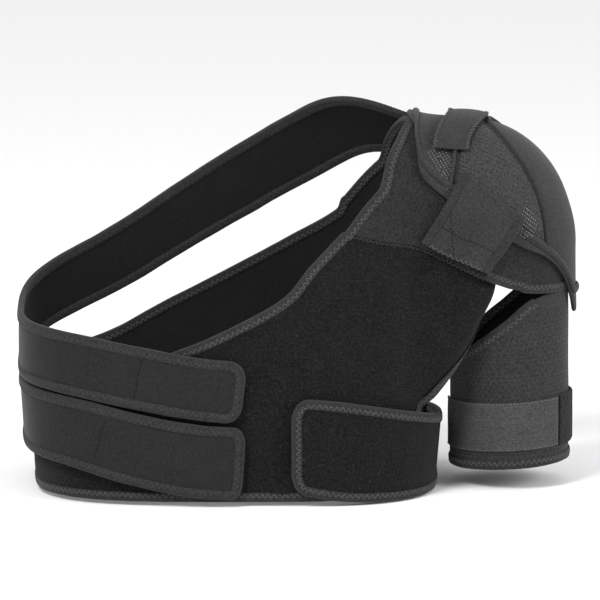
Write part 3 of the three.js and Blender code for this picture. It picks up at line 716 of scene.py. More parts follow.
def new_group(name, kind, inputs, outputs):
    """A node group with the sockets it takes and gives. A number is a float socket's default."""
    tree = bpy.data.node_groups.new(name, kind)
    for in_out, sockets in (("INPUT", inputs), ("OUTPUT", outputs)):
        for label, value in sockets.items():
            number = isinstance(value, float)
            kind_of_socket = "NodeSocketFloat" if number else "NodeSocket" + value
            socket = tree.interface.new_socket(label, in_out=in_out, socket_type=kind_of_socket)
            if number:
                socket.default_value = value
    return tree, tree.nodes.new("NodeGroupInput").outputs, tree.nodes.new("NodeGroupOutput").inputs


def grain_tree():
    """Geometry nodes that lay one rounded grain on each point, along the point's own directions."""
    sizes = {"Length": 0.0034, "Width": 0.0005, "Height": 0.0004}
    inputs = {"Geometry": "Geometry", **sizes, "Slant": 0.9, "Material": "Material"}
    tree, given, result = new_group("sewn grains", "GeometryNodeTree", inputs, {"Geometry": "Geometry"})

    def add(kind, inputs=None, output=0, **settings):
        return add_node(tree, kind, inputs, **settings).outputs[output]

    def direction(label):
        return add("GeometryNodeInputNamedAttribute", {"Name": label}, "Attribute", data_type="FLOAT_VECTOR")

    ball = add("GeometryNodeMeshUVSphere", {"Segments": 6, "Rings": 4, "Radius": 0.5}, "Mesh")
    size = add("ShaderNodeCombineXYZ", {k: given[label] for k, label in enumerate(sizes)})
    shape = add("GeometryNodeTransform", {"Geometry": ball, "Scale": size})
    axes = add("FunctionNodeAxesToRotation", {0: direction("outward"), 1: direction("along")},
               primary_axis="Z", secondary_axis="X")
    parity = maths(tree, "MODULO", add("GeometryNodeInputIndex"), 2)
    side = maths(tree, "MULTIPLY", maths(tree, "SUBTRACT", parity, 0.5), 2)
    swing = add("ShaderNodeCombineXYZ", {2: maths(tree, "MULTIPLY", side, given["Slant"])})
    turn = add("FunctionNodeEulerToRotation", {0: swing})
    rotation = add("FunctionNodeRotateRotation", {0: axes, 1: turn}, rotation_space="LOCAL")
    inputs = {"Points": given["Geometry"], "Instance": shape, "Rotation": rotation}
    lay = add("GeometryNodeInstanceOnPoints", inputs)
    real = add("GeometryNodeRealizeInstances", {0: lay})
    smooth = add("GeometryNodeSetShadeSmooth", {0: real})
    paint = add("GeometryNodeSetMaterial", {0: smooth, "Material": given["Material"]})
    tree.links.new(paint, result[0])
    return tree


def grains(name, points, outward, along, material, length, width, height, slant=0.0):
    """A mesh of grains laid on points, in millimetres."""
    tree = bpy.data.node_groups.get("sewn grains") or grain_tree()
    mesh = bpy.data.meshes.new(name + "_points")
    mesh.from_pydata(placed(points).tolist(), [], [])
    for label, value in (("outward", outward), ("along", along)):
        attribute = mesh.attributes.new(label, "FLOAT_VECTOR", "POINT")
        attribute.data.foreach_set("vector", np.asarray(value, np.float32).ravel())
    piece = bpy.data.objects.new(name, mesh)
    bpy.context.scene.collection.objects.link(piece)
    modifier = piece.modifiers.new("grains", "NODES")
    modifier.node_group = tree
    sockets = {item.name: item.identifier for item in tree.interface.items_tree if item.in_out == "INPUT"}
    for label, value in (("Length", length), ("Width", width), ("Height", height)):
        modifier[sockets[label]] = float(value * MM)
    modifier[sockets["Slant"]] = float(slant)
    modifier[sockets["Material"]] = material
    graph = bpy.context.evaluated_depsgraph_get()
    made = bpy.data.meshes.new_from_object(piece.evaluated_get(graph))
    piece.modifiers.clear()
    piece.data = made
    made.name = name
    if not made.materials:
        made.materials.append(material)
    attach(piece, "root")
    return piece


# Stitches: pitch, length and slant
YOKE_STITCH = 2.2, 3.2, 0.9
STRAP_DASH = 2.4, 2.1, 0.0
ELASTIC_DASH = 3.2, 2.7, 0.0
TAB_DASH = 3.2, 2.3, 0.0
TAB_ZIGZAG = 2.4, 4.6, 1.0
TAPE_SLANT = 1.05
# Heights above the cloth, and the depth of a perforation's dot, a raised near-black dot of painted shade in
# place of a hole
THREAD_LIFT = 0.35
HOLE_LIFT = 0.02
HOLE_DEPTH = 0.12


def perforations(name, points, normals):
    """Round near-black dots on a perforated cloth: painted shade in place of the holes."""
    hole = sizes_mm()["hole"]
    upright = np.tile([0.0, 0, 1], (len(points), 1))
    dots = grains(name, points, normals, upright, finish("hole"), hole, hole, HOLE_DEPTH)
    return dots


def stitch_points(p, n, pitch):
    """Middles of the stitches along a line, with their normals and directions."""
    length = run_of(p, 0)
    stops = np.arange(pitch / 2, length[-1], pitch)
    ahead, behind = read_at(p, length, stops + 0.5), read_at(p, length, stops - 0.5)
    return read_at(p, length, stops), unit(read_at(n, length, stops)), unit(ahead - behind)


def sew(name, lines, pitch, length, slant, thread=None, slot="edge_tape"):
    """Thread along lines of points and normals."""
    sizes = bpy.context.scene.brace_sizes
    parts = [stitch_points(p, n, pitch) for p, n in lines]
    q, m, along = (np.vstack([part[k] for part in parts]) for k in range(3))
    width = sizes.thread / MM
    piece = grains(name, q, m, along, thread or finish("thread"), length, width, width * 0.8, slant)
    return piece


def laid(piece, nodes):
    """Rides the piece on the root and hides the nodes that it replaces."""
    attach(piece, "root")
    if nodes:
        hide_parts(*nodes)
    return piece


def clad(node, kind, skin, base, thickness, outer, slot, inner="lining", **shape):
    """The wall of cloth or padding that replaces a node, on a skin raised to its base."""
    name = f"{node}_{kind}"
    piece = cloth_wall(name, skin, base, base + thickness, finish(outer), finish(inner), **shape)
    return laid(piece, [node])


def as_sheet(piece, skin, with_pieces=()):
    """Works out the rough flat size of a cloth piece's cut from its skin, and keeps none of it."""
    across = np.linalg.norm(np.diff(skin.p, axis=1), axis=-1).sum(1).max()
    down = np.linalg.norm(np.diff(skin.p, axis=0), axis=-1).sum(0).max()
    a = np.cross(skin.p[1:, :-1] - skin.p[:-1, :-1], skin.p[:-1, 1:] - skin.p[:-1, :-1])
    area = np.linalg.norm(a, axis=-1).sum()
    area = float(np.clip(area, 0.31 * across * down, across * down))


# Finishes

def knit_group():
    """Loops of knit or weave over the cloth's own coordinates, as a bump height and as painted shade, lighter
    on the loops and darker between them.
    """
    inputs = {"Across": 1100.0, "Along": 800.0, "Uneven": 0.3}
    outputs = {"Height": "Float", "Shade": "Float"}
    tree, given, result = new_group("knit surface", "ShaderNodeTree", inputs, outputs)
    uv = add_node(tree, "ShaderNodeUVMap", uv_map="cloth").outputs[0]
    split = add_node(tree, "ShaderNodeSeparateXYZ", {0: uv}).outputs
    place = add_node(tree, "ShaderNodeTexCoord").outputs["Object"]
    wobble = add_node(tree, "ShaderNodeTexNoise", {"Vector": place, "Scale": 700, "Detail": 2}).outputs["Fac"]
    turn = 6.2832
    ways = [maths(tree, "MULTIPLY", split[k], given[label]) for k, label in enumerate(("Across", "Along"))]
    across, along = (maths(tree, "SINE", maths(tree, "MULTIPLY", way, turn)) for way in ways)
    lower = maths(tree, "ADD", maths(tree, "MULTIPLY", along, 0.5), 0.5)
    loops = maths(tree, "MULTIPLY", maths(tree, "ABSOLUTE", across), lower)
    rough = maths(tree, "MULTIPLY", wobble, given["Uneven"])
    tree.links.new(maths(tree, "ADD", loops, rough), result["Height"])
    # Shade follows the loops' height, lighter on them and darker between: painted shade of the knit relief
    tree.links.new(maths(tree, "ADD", maths(tree, "MULTIPLY", loops, 0.16), 0.9), result["Shade"])
    return tree


def mottle_and_fuzz_shade_group():
    """Large soft patches and lint specks on cloth, with a small fuzz whose tone follows its bump: painted
    shade of the fuzz relief.
    """
    inputs = {"Scale": 40.0, "Contrast": 0.3, "Lint": 0.3}
    outputs = {"Shade": "Float", "Fuzz": "Float"}
    tree, given, result = new_group("cloth mottle", "ShaderNodeTree", inputs, outputs)
    place = add_node(tree, "ShaderNodeTexCoord").outputs["Object"]

    def noise(**inputs):
        return add_node(tree, "ShaderNodeTexNoise", {"Vector": place, **inputs}).outputs["Fac"]

    def spread(source, *bounds):
        labels = ("From Min", "From Max", "To Min", "To Max")
        return add_node(tree, "ShaderNodeMapRange", {"Value": source, **dict(zip(labels, bounds))}).outputs[0]

    patches = noise(Scale=given["Scale"], Detail=4)
    fuzz = noise(Scale=520, Detail=3, Roughness=0.7)
    lint = noise(Scale=330, Detail=1)
    patch = maths(tree, "MULTIPLY", spread(patches, 0.3, 0.7, -0.3, 0.3), given["Contrast"])
    # The small fuzz's tone comes from the same noise as its bump: painted shade of the fuzz relief
    painted_fuzz_shade = maths(tree, "MULTIPLY", spread(fuzz, 0.36, 0.64, -1.5, 1.5), given["Contrast"])
    specks = maths(tree, "MULTIPLY", spread(lint, 0.68, 0.78, 0, 1), given["Lint"])
    shade = maths(tree, "ADD", maths(tree, "ADD", maths(tree, "ADD", patch, painted_fuzz_shade), 1), specks)
    tree.links.new(shade, result["Shade"])
    tree.links.new(spread(fuzz, 0.25, 0.75, 0, 1), result["Fuzz"])
    return tree


# Finish: colour name, loops in each metre across and along, unevenness of the loops,
# contrast of the random patches and of the painted fuzz shade, lint, bump in millimetres, roughness, sheen
FINISHES = {
    "plush": ("plush", 300, 300, 1.2, 1.0, 4.0, 0.7, 1.0, 0.045),
    "yoke_cloth": ("yoke", 420, 420, 0.9, 0.42, 0.7, 0.3, 0.95, 0.1),
    "lining": ("lining", 420, 300, 0.5, 0.3, 0.9, 0.25, 0.9, 0.03),
    "strap_cloth": ("strap", 480, 260, 0.6, 0.28, 0.35, 0.22, 0.9, 0.12),
    "tab_cloth": ("tab", 480, 260, 0.6, 0.28, 0.35, 0.22, 0.9, 0.12),
    "edge_tape": ("tape", 500, 260, 0.5, 0.3, 0.6, 0.25, 0.9, 0.12),
    "sleeve_cloth": ("sleeve", 420, 300, 0.6, 0.34, 0.4, 0.22, 0.9, 0.12),
    "pad_cloth": ("pad", 460, 280, 0.6, 0.28, 0.4, 0.2, 0.85, 0.14),
    "panel_cloth": ("panel", 360, 360, 0.6, 0.3, 0.4, 0.25, 0.88, 0.14),
    "elastic": ("elastic", 300, 455, 0.6, 0.25, 0.5, 0.3, 0.8, 0.12),
    "loop_pile": ("loop_pile", 260, 260, 1.4, 0.8, 1.2, 0.8, 1.0, 0.06),
    "thread": ("thread", 1500, 900, 0.4, 0.2, 0.2, 0.05, 0.7, 0.1),
    "light_thread": ("light_thread", 1500, 900, 0.4, 0.2, 0.2, 0.05, 0.7, 0.1),
    "dark_thread": ("dark_thread", 1500, 900, 0.4, 0.2, 0.2, 0.05, 0.7, 0.1),
    # hole: near-black painted shade, for the inside of the perforations and the sunk grooves of stitch lines
    # on the straps and front tab
    "hole": ("hole", 800, 800, 0.2, 0.1, 0.0, 0.02, 1.0, 0.0),
    "mesh_dot": ("mesh_dot", 800, 800, 0.2, 0.2, 0.2, 0.05, 0.6, 0.1),
}


def finish(name):
    """The material of that finish, made on first use."""
    found = bpy.data.materials.get("brace " + name)
    if found:
        return found
    colour_name, across, along, uneven, contrast, lint, bump, roughness, sheen = FINISHES[name]
    colour = getattr(bpy.context.scene.brace_colours, colour_name)
    knit_tree = bpy.data.node_groups.get("knit surface") or knit_group()
    mottle_and_fuzz_shade_tree = bpy.data.node_groups.get("cloth mottle") or mottle_and_fuzz_shade_group()
    material = bpy.data.materials.new("brace " + name)
    material.use_nodes = True
    tree = material.node_tree
    inputs = {"Across": across, "Along": along, "Uneven": uneven}
    knit = add_node(tree, "ShaderNodeGroup", inputs, node_tree=knit_tree).outputs
    inputs = {"Contrast": contrast, "Lint": lint}
    mottle_and_fuzz_shade = add_node(tree, "ShaderNodeGroup", inputs, node_tree=mottle_and_fuzz_shade_tree).outputs
    # Colour scaled by painted shade of the knit loops and of the fuzz, and by the cloth's random patches and
    # lint
    shade = maths(tree, "MULTIPLY", knit["Shade"], mottle_and_fuzz_shade["Shade"])
    tint = add_node(tree, "ShaderNodeVectorMath", {0: colour[:3], "Scale": shade}, operation="SCALE")
    height = maths(tree, "MULTIPLY_ADD", knit["Height"], 0.4, mottle_and_fuzz_shade["Fuzz"])
    relief = add_node(tree, "ShaderNodeBump", {"Distance": bump * MM, "Strength": 0.8, "Height": height})
    shader = tree.nodes["Principled BSDF"]
    tree.links.new(tint.outputs[0], shader.inputs["Base Color"])
    tree.links.new(relief.outputs[0], shader.inputs["Normal"])
    shader.inputs["Roughness"].default_value = roughness
    shader.inputs["Specular IOR Level"].default_value = 0.25
    shader.inputs["Sheen Weight"].default_value = sheen
    shader.inputs["Sheen Roughness"].default_value = 0.45
    shader.inputs["Sheen Tint"].default_value = (0.8, 0.8, 0.82, 1)
    return material


def length_property(name, description, default_mm, low_mm, high_mm):
    return bpy.props.FloatProperty(
        name=name, description=description, default=default_mm * MM, min=low_mm * MM, max=high_mm * MM,
        precision=5, unit="LENGTH", subtype="DISTANCE")


def colour_property(name, description, grey):
    return bpy.props.FloatVectorProperty(
        name=name, description=description, default=(grey, grey, grey * 1.02), size=3, min=0, max=1,
        subtype="COLOR")


class BraceSizes(bpy.types.PropertyGroup):
    """Sizes of the cloth, tape and thread."""

    spacing: length_property("Cloth spacing", "Distance between the points of a cloth", 3, 1.5, 8)
    tape_width: length_property(
        "Tape width", "Width of the fold-over tape on each side of an edge", 7.5, 4, 12)
    stitch_pitch: length_property("Stitch pitch", "Distance from one zigzag stitch to the next", 2.6, 1, 5)
    stitch_length: length_property("Stitch length", "Length of one zigzag stitch", 5.6, 1, 8)
    thread: length_property("Thread", "Thickness of the thread", 0.85, 0.1, 1.5)
    hole_pitch: length_property("Perforation pitch", "Distance from one perforation to the next", 5.2, 2, 12)
    hole: length_property("Perforation", "Diameter of a perforation", 1.2, 0.3, 3)
    wave: length_property("Unevenness", "Height of the soft unevenness of the cloth", 0.5, 0, 2)


class BraceColours(bpy.types.PropertyGroup):
    """Colours of the finishes."""

    plush: colour_property("Plush", "Loop plush of the chest panel and flap", 0.0036)
    yoke: colour_property("Yoke", "Brushed cloth of the shoulder yoke", 0.0128)
    lining: colour_property("Lining", "Smooth inner face", 0.006)
    strap: colour_property("Strap", "Knit face of the chest straps", 0.01)
    tab: colour_property("Tab", "Knit face of the front tab and top strap", 0.021)
    tape: colour_property("Tape", "Fold-over edge tape", 0.0175)
    sleeve: colour_property("Sleeve", "Perforated cloth of the arm sleeve", 0.02)
    pad: colour_property("Pad", "Moulded cloth of the shoulder cup", 0.0215)
    panel: colour_property("Cup panel", "Perforated panel of the cup", 0.0275)
    elastic: colour_property("Elastic", "Ribbed elastic of the arm band", 0.045)
    loop_pile: colour_property("Loop pile", "Loop patch beside the elastic", 0.01)
    thread: colour_property("Thread", "Sewing thread", 0.07)
    light_thread: colour_property("Light thread", "Light sewing thread of the elastic", 0.1)
    dark_thread: colour_property("Dark thread", "Thread of the straps and of the seam below the yoke", 0.032)
    # Painted shade: near-black for the inside of the perforations and for the sunk stitch grooves on the
    # straps and front tab
    hole: colour_property("Perforations", "Inside of the perforations", 0.004)
    mesh_dot: colour_property("Mesh dots", "Light yarn of the open mesh", 0.28)


def sizes_mm():
    sizes = bpy.context.scene.brace_sizes
    return {key: getattr(sizes, key) / MM for key in BraceSizes.__annotations__}


def bind(name, edge, height=0.0, closed=False, thickness=FABRIC, field=trunk_field, thread="thread"):
    """Tape round an edge with its zigzag stitches. Returns the two pieces."""
    size = sizes_mm()
    tape, lines = tape_piece(name + "_tape", edge, height, thickness, size["tape_width"], finish("edge_tape"),
                             closed, pitch=2 * size["stitch_pitch"], field=field)
    laid(tape, [name])
    stitches = sew(name + "_stitches", lines, size["stitch_pitch"], size["stitch_length"], TAPE_SLANT,
                   finish(thread))
    return [tape, stitches]


SKINS = {}


def build_skins():
    """Makes each cloth's skin, its points spaced over the cloth's rough lengths in millimetres."""
    step = sizes_mm()["spacing"]
    rows = spans(215, step)
    SKINS["chest"] = eased_skin(wrap_panel(CHEST_TOP, CHEST_END, -1, spans(560, step), rows))
    SKINS["back"] = eased_skin(wrap_panel(BACK_TOP, BACK_END, 1, spans(520, step), rows))
    SKINS["yoke"] = yoke_skin(spans(330, step), spans(150, step))
    flap_row = through(FLAP, spans(350, step))
    across = spans(60, step)
    g = np.broadcast_to(flap_row[:, :1] * HALF_WIDTH, (len(flap_row), len(across)))
    SKINS["flap"] = belt(g, mix(flap_row[:, 1:2], flap_row[:, 2:3], across[None, :]) * SHOULDER_HEIGHT)
    columns = 2 * spans(STRAP_WIDTH, step) - 1
    SKINS["upper"] = strap_skin(UPPER_STRAP, strap_keys(UPPER_STRAP, step), columns)
    SKINS["lower"] = strap_skin(LOWER_STRAP, strap_keys(LOWER_STRAP, step), columns)
    turns = np.linspace(0, 2 * np.pi, 121)[:-1]
    share = spans(120, 2.5)[:, None]
    heights = mix(hem_height(turns)[None, :], sleeve_top(turns)[None, :], share)
    SKINS["sleeve"] = arm_point(turns[None, :], heights)
    SKINS["cup"] = cup_skin(spans(200, 2), spans(200, 2.4))


def eased_skin(skin, passes=24, border=4):
    """The skin with its creases eased, its borders kept."""
    inside = slice(border, -border)
    before, after = slice(border - 1, -border - 1), slice(border + 1, 1 - border)
    for _ in range(passes):
        for value in (skin.p, skin.n):
            rows = value[before, inside] + value[after, inside]
            columns = value[inside, before] + value[inside, after]
            value[inside, inside] = value[inside, inside] * 0.4 + (rows + columns) * 0.15
    return Skin(skin.p, unit(skin.n))


def panel_wave(skin, seed, scale=1.0):
    return ripple(skin.p, 62, seed) * sizes_mm()["wave"] * scale


class BRACE_OT_body(bpy.types.Operator):
    """Makes the chest panel, the back panel and the shoulder yoke with their tapes"""

    bl_idname = "brace.body"
    bl_label = "Body panels"

    def execute(self, context):
        chest, back, yoke = SKINS["chest"], SKINS["back"], SKINS["yoke"]
        front = clad("chest_panel", "cloth", chest, 0, FABRIC, "plush", "plush", swell=panel_wave(chest, 1))
        rear = clad("back_panel", "cloth", back, 0, FABRIC, "yoke_cloth", "neoprene",
                    swell=panel_wave(back, 2))
        top = clad("shoulder_yoke", "cloth", yoke, 0, FABRIC, "yoke_cloth", "yoke_cloth",
                   swell=panel_wave(yoke, 3, 0.6))
        chest_last, back_last = edge_of(chest, "last"), edge_of(back, "last")
        seam_x = SEAM[0][0] * HALF_WIDTH
        front_neck = chest_last.kept(chest_last.p[:, 0] < seam_x - 1)
        back_neck = back_last.kept(back_last.p[:, 0] < seam_x - 1)
        neck = Edge.joined([front_neck, edge_of(yoke, "start"), back_neck.reversed()])
        arm = over_the_arm(edge_of(yoke, "end"))
        trims = {
            "neck_binding": neck,
            "hem_binding_front": edge_of(chest, "first"),
            "hem_binding_back": edge_of(back, "first"),
            "armhole_binding_front": edge_of(chest, "end"),
            "armhole_binding_back": edge_of(back, "end"),
            "armhole_top_binding_front": arm.kept(arm.p[:, 1] < 0),
            "armhole_top_binding_back": arm.kept(arm.p[:, 1] > 0),
        }
        on_body = ("neck_binding", "armhole_top_binding_front", "armhole_top_binding_back")
        made = {name: bind(name, edge, field=body_field if name in on_body else trunk_field)
                for name, edge in trims.items()}
        across = np.linspace(0.01, 0.99, 120)
        line = read_line(sized(SEAM), across)
        joins = [face(line[:, 0], line[:, 1] - 1.5, side) for side in (-1, 1)]
        sew("yoke_seam_stitches", [(seam.up(FABRIC + 0.4), seam.n) for seam in joins], *YOKE_STITCH,
            finish("dark_thread"), "yoke_cloth")
        as_sheet(front, chest, made["hem_binding_front"] + made["armhole_binding_front"])
        as_sheet(rear, back, made["hem_binding_back"] + made["armhole_binding_back"])
        as_sheet(top, yoke, sum((made[name] for name in on_body), []))
        return {"FINISHED"}


# Place across the chest of each strap's cross seam
CROSS_SEAM = {"upper": -81.0, "lower": -115.0}


def strap_edge(skin):
    """The edge of a strap or flap, apart from the end where it is sewn on."""
    return Edge.joined([edge_of(skin, "start").reversed(), edge_of(skin, "first"), edge_of(skin, "end")])


class BRACE_OT_straps(bpy.types.Operator):
    """Makes the two chest straps and the side flap with their tapes and seams"""

    bl_idname = "brace.straps"
    bl_label = "Straps and flap"

    def execute(self, context):
        for name, seed in (("upper", 4), ("lower", 5)):
            skin = SKINS[name]
            wave = panel_wave(skin, seed, 0.5)
            strap = clad(f"{name}_strap", "cloth", skin, OVER_FABRIC, FABRIC, "strap_cloth", "strap_cloth",
                         swell=wave)
            trim = bind(f"{name}_strap_binding", strap_edge(skin), OVER_FABRIC, thread="dark_thread")
            middle = skin.p[:, skin.p.shape[1] // 2]
            off_seam = np.abs(middle[:, 0] - CROSS_SEAM[name])
            row = int(np.argmin(off_seam + np.where(middle[:, 1] < 0, 0, REACH)))
            height = OVER_FABRIC + FABRIC + wave + 0.1
            line = [(skin.up(height)[row, 6:-6], skin.n[row, 6:-6])]
            # The cross seam's stitches take the near-black perforation colour: a real stitch line, its
            # darkness painted shade of the sunk groove
            trim.append(sew(f"{name}_strap_seam", line, *STRAP_DASH, finish("hole"), "strap_cloth"))
            as_sheet(strap, skin, trim)
        flap = SKINS["flap"]
        cloth = clad("side_flap", "cloth", flap, OVER_FABRIC, FABRIC, "plush", "plush",
                     swell=panel_wave(flap, 6, 0.5))
        as_sheet(cloth, flap, bind("flap_binding", strap_edge(flap), OVER_FABRIC))
        return {"FINISHED"}


def arm_band(start, stop, low, high, step=1.5):
    turns = spans((stop - start) * ARM_RADIUS, step * 1.6) * (stop - start) + start
    heights = spans(high - low, step) * (high - low) + low
    return arm_point(turns[:, None], hem_height(turns)[:, None] + heights[None, :])


ELASTIC_LOW = 16.0
ELASTIC_START, ELASTIC_STOP = 0.0, 0.78 * np.pi
ELASTIC_THICKNESS = 1.6
RIB_PITCH = 2.1
GRIP_STOP, TAIL_STOP = 0.95 * np.pi, 1.75 * np.pi
HOLES_RADIUS = 54.0
HOLES_BELOW_TOP = 12.0
TOP_TAPE_COLUMNS = 42


class BRACE_OT_sleeve(bpy.types.Operator):
    """Makes the perforated arm sleeve with its elastic band, loop patch and strap end"""

    bl_idname = "brace.sleeve"
    bl_label = "Arm sleeve"

    def execute(self, context):
        size = sizes_mm()
        skin = SKINS["sleeve"]
        sleeve = clad("arm_sleeve", "cloth", skin, 0, FABRIC, "sleeve_cloth", "perforated_neoprene",
                      closed=True, swell=panel_wave(skin, 7, 0.6))
        pitch = size["hole_pitch"]
        holes, ways = [], []
        for k, height in enumerate(np.arange(8, 175, pitch * 0.8)):
            turns = np.arange(k % 2 * 0.5, 2 * np.pi * HOLES_RADIUS / pitch) * pitch / HOLES_RADIUS
            turns = turns[turns < 2 * np.pi]
            z = hem_height(turns) + height
            inside = z < sleeve_top(turns) - HOLES_BELOW_TOP
            spot = arm_point(turns[inside], z[inside])
            holes.append(spot.up(FABRIC + ripple(spot.p, 62, 7) * size["wave"] * 0.6 + HOLE_LIFT))
            ways.append(spot.n)
        # The perforations are near-black dots of painted shade, laid on the cloth
        dots = perforations("sleeve_perforations", np.vstack(holes), np.vstack(ways))
        first, last = edge_of(skin, "first"), edge_of(skin, "last")
        trim = bind("sleeve_hem_binding", first, closed=True, field=arm_field)
        count = len(last.p)
        order = np.concatenate([np.arange(count - TOP_TAPE_COLUMNS, count), np.arange(TOP_TAPE_COLUMNS + 1)])
        trim += bind("sleeve_top_binding", last.kept(order), field=arm_field)
        as_sheet(sleeve, skin, trim + [dots])
        base = FABRIC + 0.4
        joint = 1.0 / ARM_RADIUS
        high = ELASTIC_LOW + ELASTIC_WIDTH
        band = arm_band(ELASTIC_START, ELASTIC_STOP, ELASTIC_LOW, high, 0.55)
        rib = np.cos(run_of(band.p, 1) * 2 * np.pi / RIB_PITCH)
        elastic = clad("arm_elastic", "web", band, base, ELASTIC_THICKNESS, "elastic", "ribbed_elastic",
                       "elastic", swell=0.4 * rib + ripple(band.p, 24, 8) * 0.15, round_edge=0.7)
        turns = np.linspace(ELASTIC_START + 0.02, ELASTIC_STOP - 0.02, 90)
        edges = [arm_point(turns, hem_height(turns) + height) for height in (ELASTIC_LOW + 1.2, high - 1.2)]
        lines = [(edge.up(base + ELASTIC_THICKNESS + 0.25), edge.n) for edge in edges]
        thread = sew("arm_elastic_stitches", lines, *ELASTIC_DASH, finish("light_thread"), "ribbed_elastic")
        as_sheet(elastic, band, [thread])
        patch = arm_band(ELASTIC_STOP + joint, GRIP_STOP, ELASTIC_LOW - 1, high + 1)
        grip = clad("arm_loop_patch", "pile", patch, base, 2.6, "loop_pile", "plush", "loop_pile",
                    swell=ripple(patch.p, 5, 9) * 0.18, round_edge=1.0)
        as_sheet(grip, patch)
        tail = arm_band(GRIP_STOP + joint, TAIL_STOP, ELASTIC_LOW, high)
        as_sheet(clad("arm_strap_end", "cloth", tail, base, 3, "strap_cloth", "strap_cloth"), tail)
        return {"FINISHED"}


CUP_BASE = OVER_YOKE
CUP_TOP = CUP_BASE + PAD_THICKNESS
TRIM_BASE = CUP_TOP + TRIM_CLEARANCE
BAND_BASE = TRIM_BASE + PIPING_DIAMETER + 0.6


def window(low_row, high_row, low_column, high_column, step=2.0):
    """Part of the cup between shares of its rows and columns."""
    share = mix(low_row, high_row, spans(200 * (high_row - low_row), step))
    across = mix(low_column, high_column, spans(200 * (high_column - low_column), step))
    return cup_skin(share, across)


# The outer side of the cup's perforated panel: [across, share]
PANEL_LINE = [
    [0.05, 0.75], [0.12, 0.685], [0.2, 0.61], [0.27, 0.54], [0.34, 0.475], [0.42, 0.425], [0.5, 0.41],
]
PANEL_NECK = 0.33
PANEL_INSET = 0.022
PANEL_PUFF, PUFF_REACH = 1.2, 22.0
BORDER_HEIGHT = 2.4
HOLES_KEPT = 0.72
# Open mesh on the front of the cup, corners as seen from the front: [x, z]
MESH_NECK = [[171, 299], [188, 303], [195, 294], [194, 268], [191, 269]]
MESH_ARM = [[240, 239], [258, 254], [264, 240], [263, 227], [252, 228]]
MESH_STEP, MESH_ROW = 2.1, 2.6
MESH_KEPT = 0.85
# Length, width and height of a dot of the mesh
MESH_DOT = 1.25, 0.7, 0.5


def panel_window(inset):
    """The perforated panel's part of the cup, drawn in from its border by a share."""
    across = mix(0.06 + inset, 0.94 - inset, spans(200, 2.2))
    outer = through(PANEL_LINE, np.minimum(across, 1 - across))[:, 0]
    t = spans(90, 2.0)[:, None]
    share = mix(PANEL_NECK + inset, outer[None, :] - inset, t)
    skins = [cup_skin(share[:, k], across[k:k + 1]) for k in range(len(across))]
    return Skin(np.concatenate([skin.p for skin in skins], 1), np.concatenate([skin.n for skin in skins], 1))


def open_mesh(name, corners, way, height):
    """Light yarn of an open mesh inside a polygon seen from the front."""
    corners = np.asarray(corners, float)
    middle, way = corners.mean(0), np.asarray(way) / np.hypot(*way)
    i, j = np.meshgrid(np.arange(-20, 21), np.arange(-12, 13))
    side = np.array([-way[1], way[0]])
    spot = middle + (i + j % 2 * 0.5)[..., None] * way * MESH_STEP + j[..., None] * side * MESH_ROW
    spot = spot.reshape(-1, 2)
    inside = np.zeros(len(spot), bool)
    for a, b in zip(corners, np.roll(corners, -1, 0)):
        crosses = (a[1] > spot[:, 1]) != (b[1] > spot[:, 1])
        at_x = a[0] + (spot[:, 1] - a[1]) * (b[0] - a[0]) / (b[1] - a[1] + 1e-9)
        inside ^= crosses & (spot[:, 0] < at_x)
    inside &= np.random.default_rng(5).random(len(spot)) < MESH_KEPT
    skin = face(spot[inside, 0], spot[inside, 1], -1)
    along = stack(way[0], 0, way[1]) + np.zeros_like(skin.p)
    piece = grains(name, skin.up(height), skin.n, along, finish("mesh_dot"), *MESH_DOT)


def cord_piece(name, skin, section, spacing=2.0):
    """A closed cord of one section round the border of a grid."""
    sides = [edge_of(skin, which) for which in ("first", "end", "last", "start")]
    rim = Edge.joined([sides[0], sides[1], sides[2].reversed(), sides[3].reversed()]).even(spacing, True)
    return tube_piece(name, rings_along(rim, section), finish("pad_cloth"), True, 1.0)


class BRACE_OT_cup(bpy.types.Operator):
    """Makes the padded shoulder cup with its border, piping and perforated panel"""

    bl_idname = "brace.cup"
    bl_label = "Shoulder cup"

    def execute(self, context):
        skin = SKINS["cup"]
        pad = clad("shoulder_cup", "pad", skin, CUP_BASE, PAD_THICKNESS, "pad_cloth", "pad_cloth",
                   swell=ripple(skin.p, 48, 10) * 0.3, round_edge=2.2)
        outer = window(1 / 18, 17 / 18, 1 / 16, 15 / 16)
        half = BORDER_WIDTH / 2
        arc = [(half * np.cos(a), TRIM_BASE + BORDER_HEIGHT * np.sin(a)) for a in np.linspace(0, np.pi, 9)]
        laid(cord_piece("cup_border_welt", outer, arc), ["cup_border"])
        radius = PIPING_DIAMETER / 2
        ring = [(radius * np.cos(a), TRIM_BASE + radius * (1 + np.sin(a))) for a in np.arange(10) * np.pi / 5]
        laid(cord_piece("cup_piping_cord", panel_window(0.0), ring), ["cup_piping"])
        panel_skin = panel_window(PANEL_INSET)
        puff = PANEL_PUFF * ease(0, PUFF_REACH, border_distance(panel_skin, False))
        panel = clad("cup_panel", "pad", panel_skin, TRIM_BASE, TRIM_THICKNESS, "panel_cloth",
                     "perforated_neoprene", swell=puff)
        holes = panel_skin[3:-3:2, 3:-3:2]
        lift = TRIM_BASE + TRIM_THICKNESS + puff[3:-3:2, 3:-3:2] + HOLE_LIFT
        p, n = holes.up(lift).reshape(-1, 3), holes.n.reshape(-1, 3)
        keep = np.random.default_rng(3).random(len(p)) < HOLES_KEPT
        # The perforations are near-black dots of painted shade, laid on the cloth
        perforations("cup_perforations", p[keep], n[keep])
        open_mesh("cup_mesh_neck", MESH_NECK, (0.62, -0.78), CUP_TOP + 0.25)
        open_mesh("cup_mesh_arm", MESH_ARM, (0.75, -0.66), TRIM_BASE + TRIM_THICKNESS + 1.3)
        return {"FINISHED"}


# The top strap from its front to its back: place across / arm reach, and lean / half turn
TOP_STRAP_PLACE = 0.775, 0.84
TOP_STRAP_LEAN = -0.19, 0.5


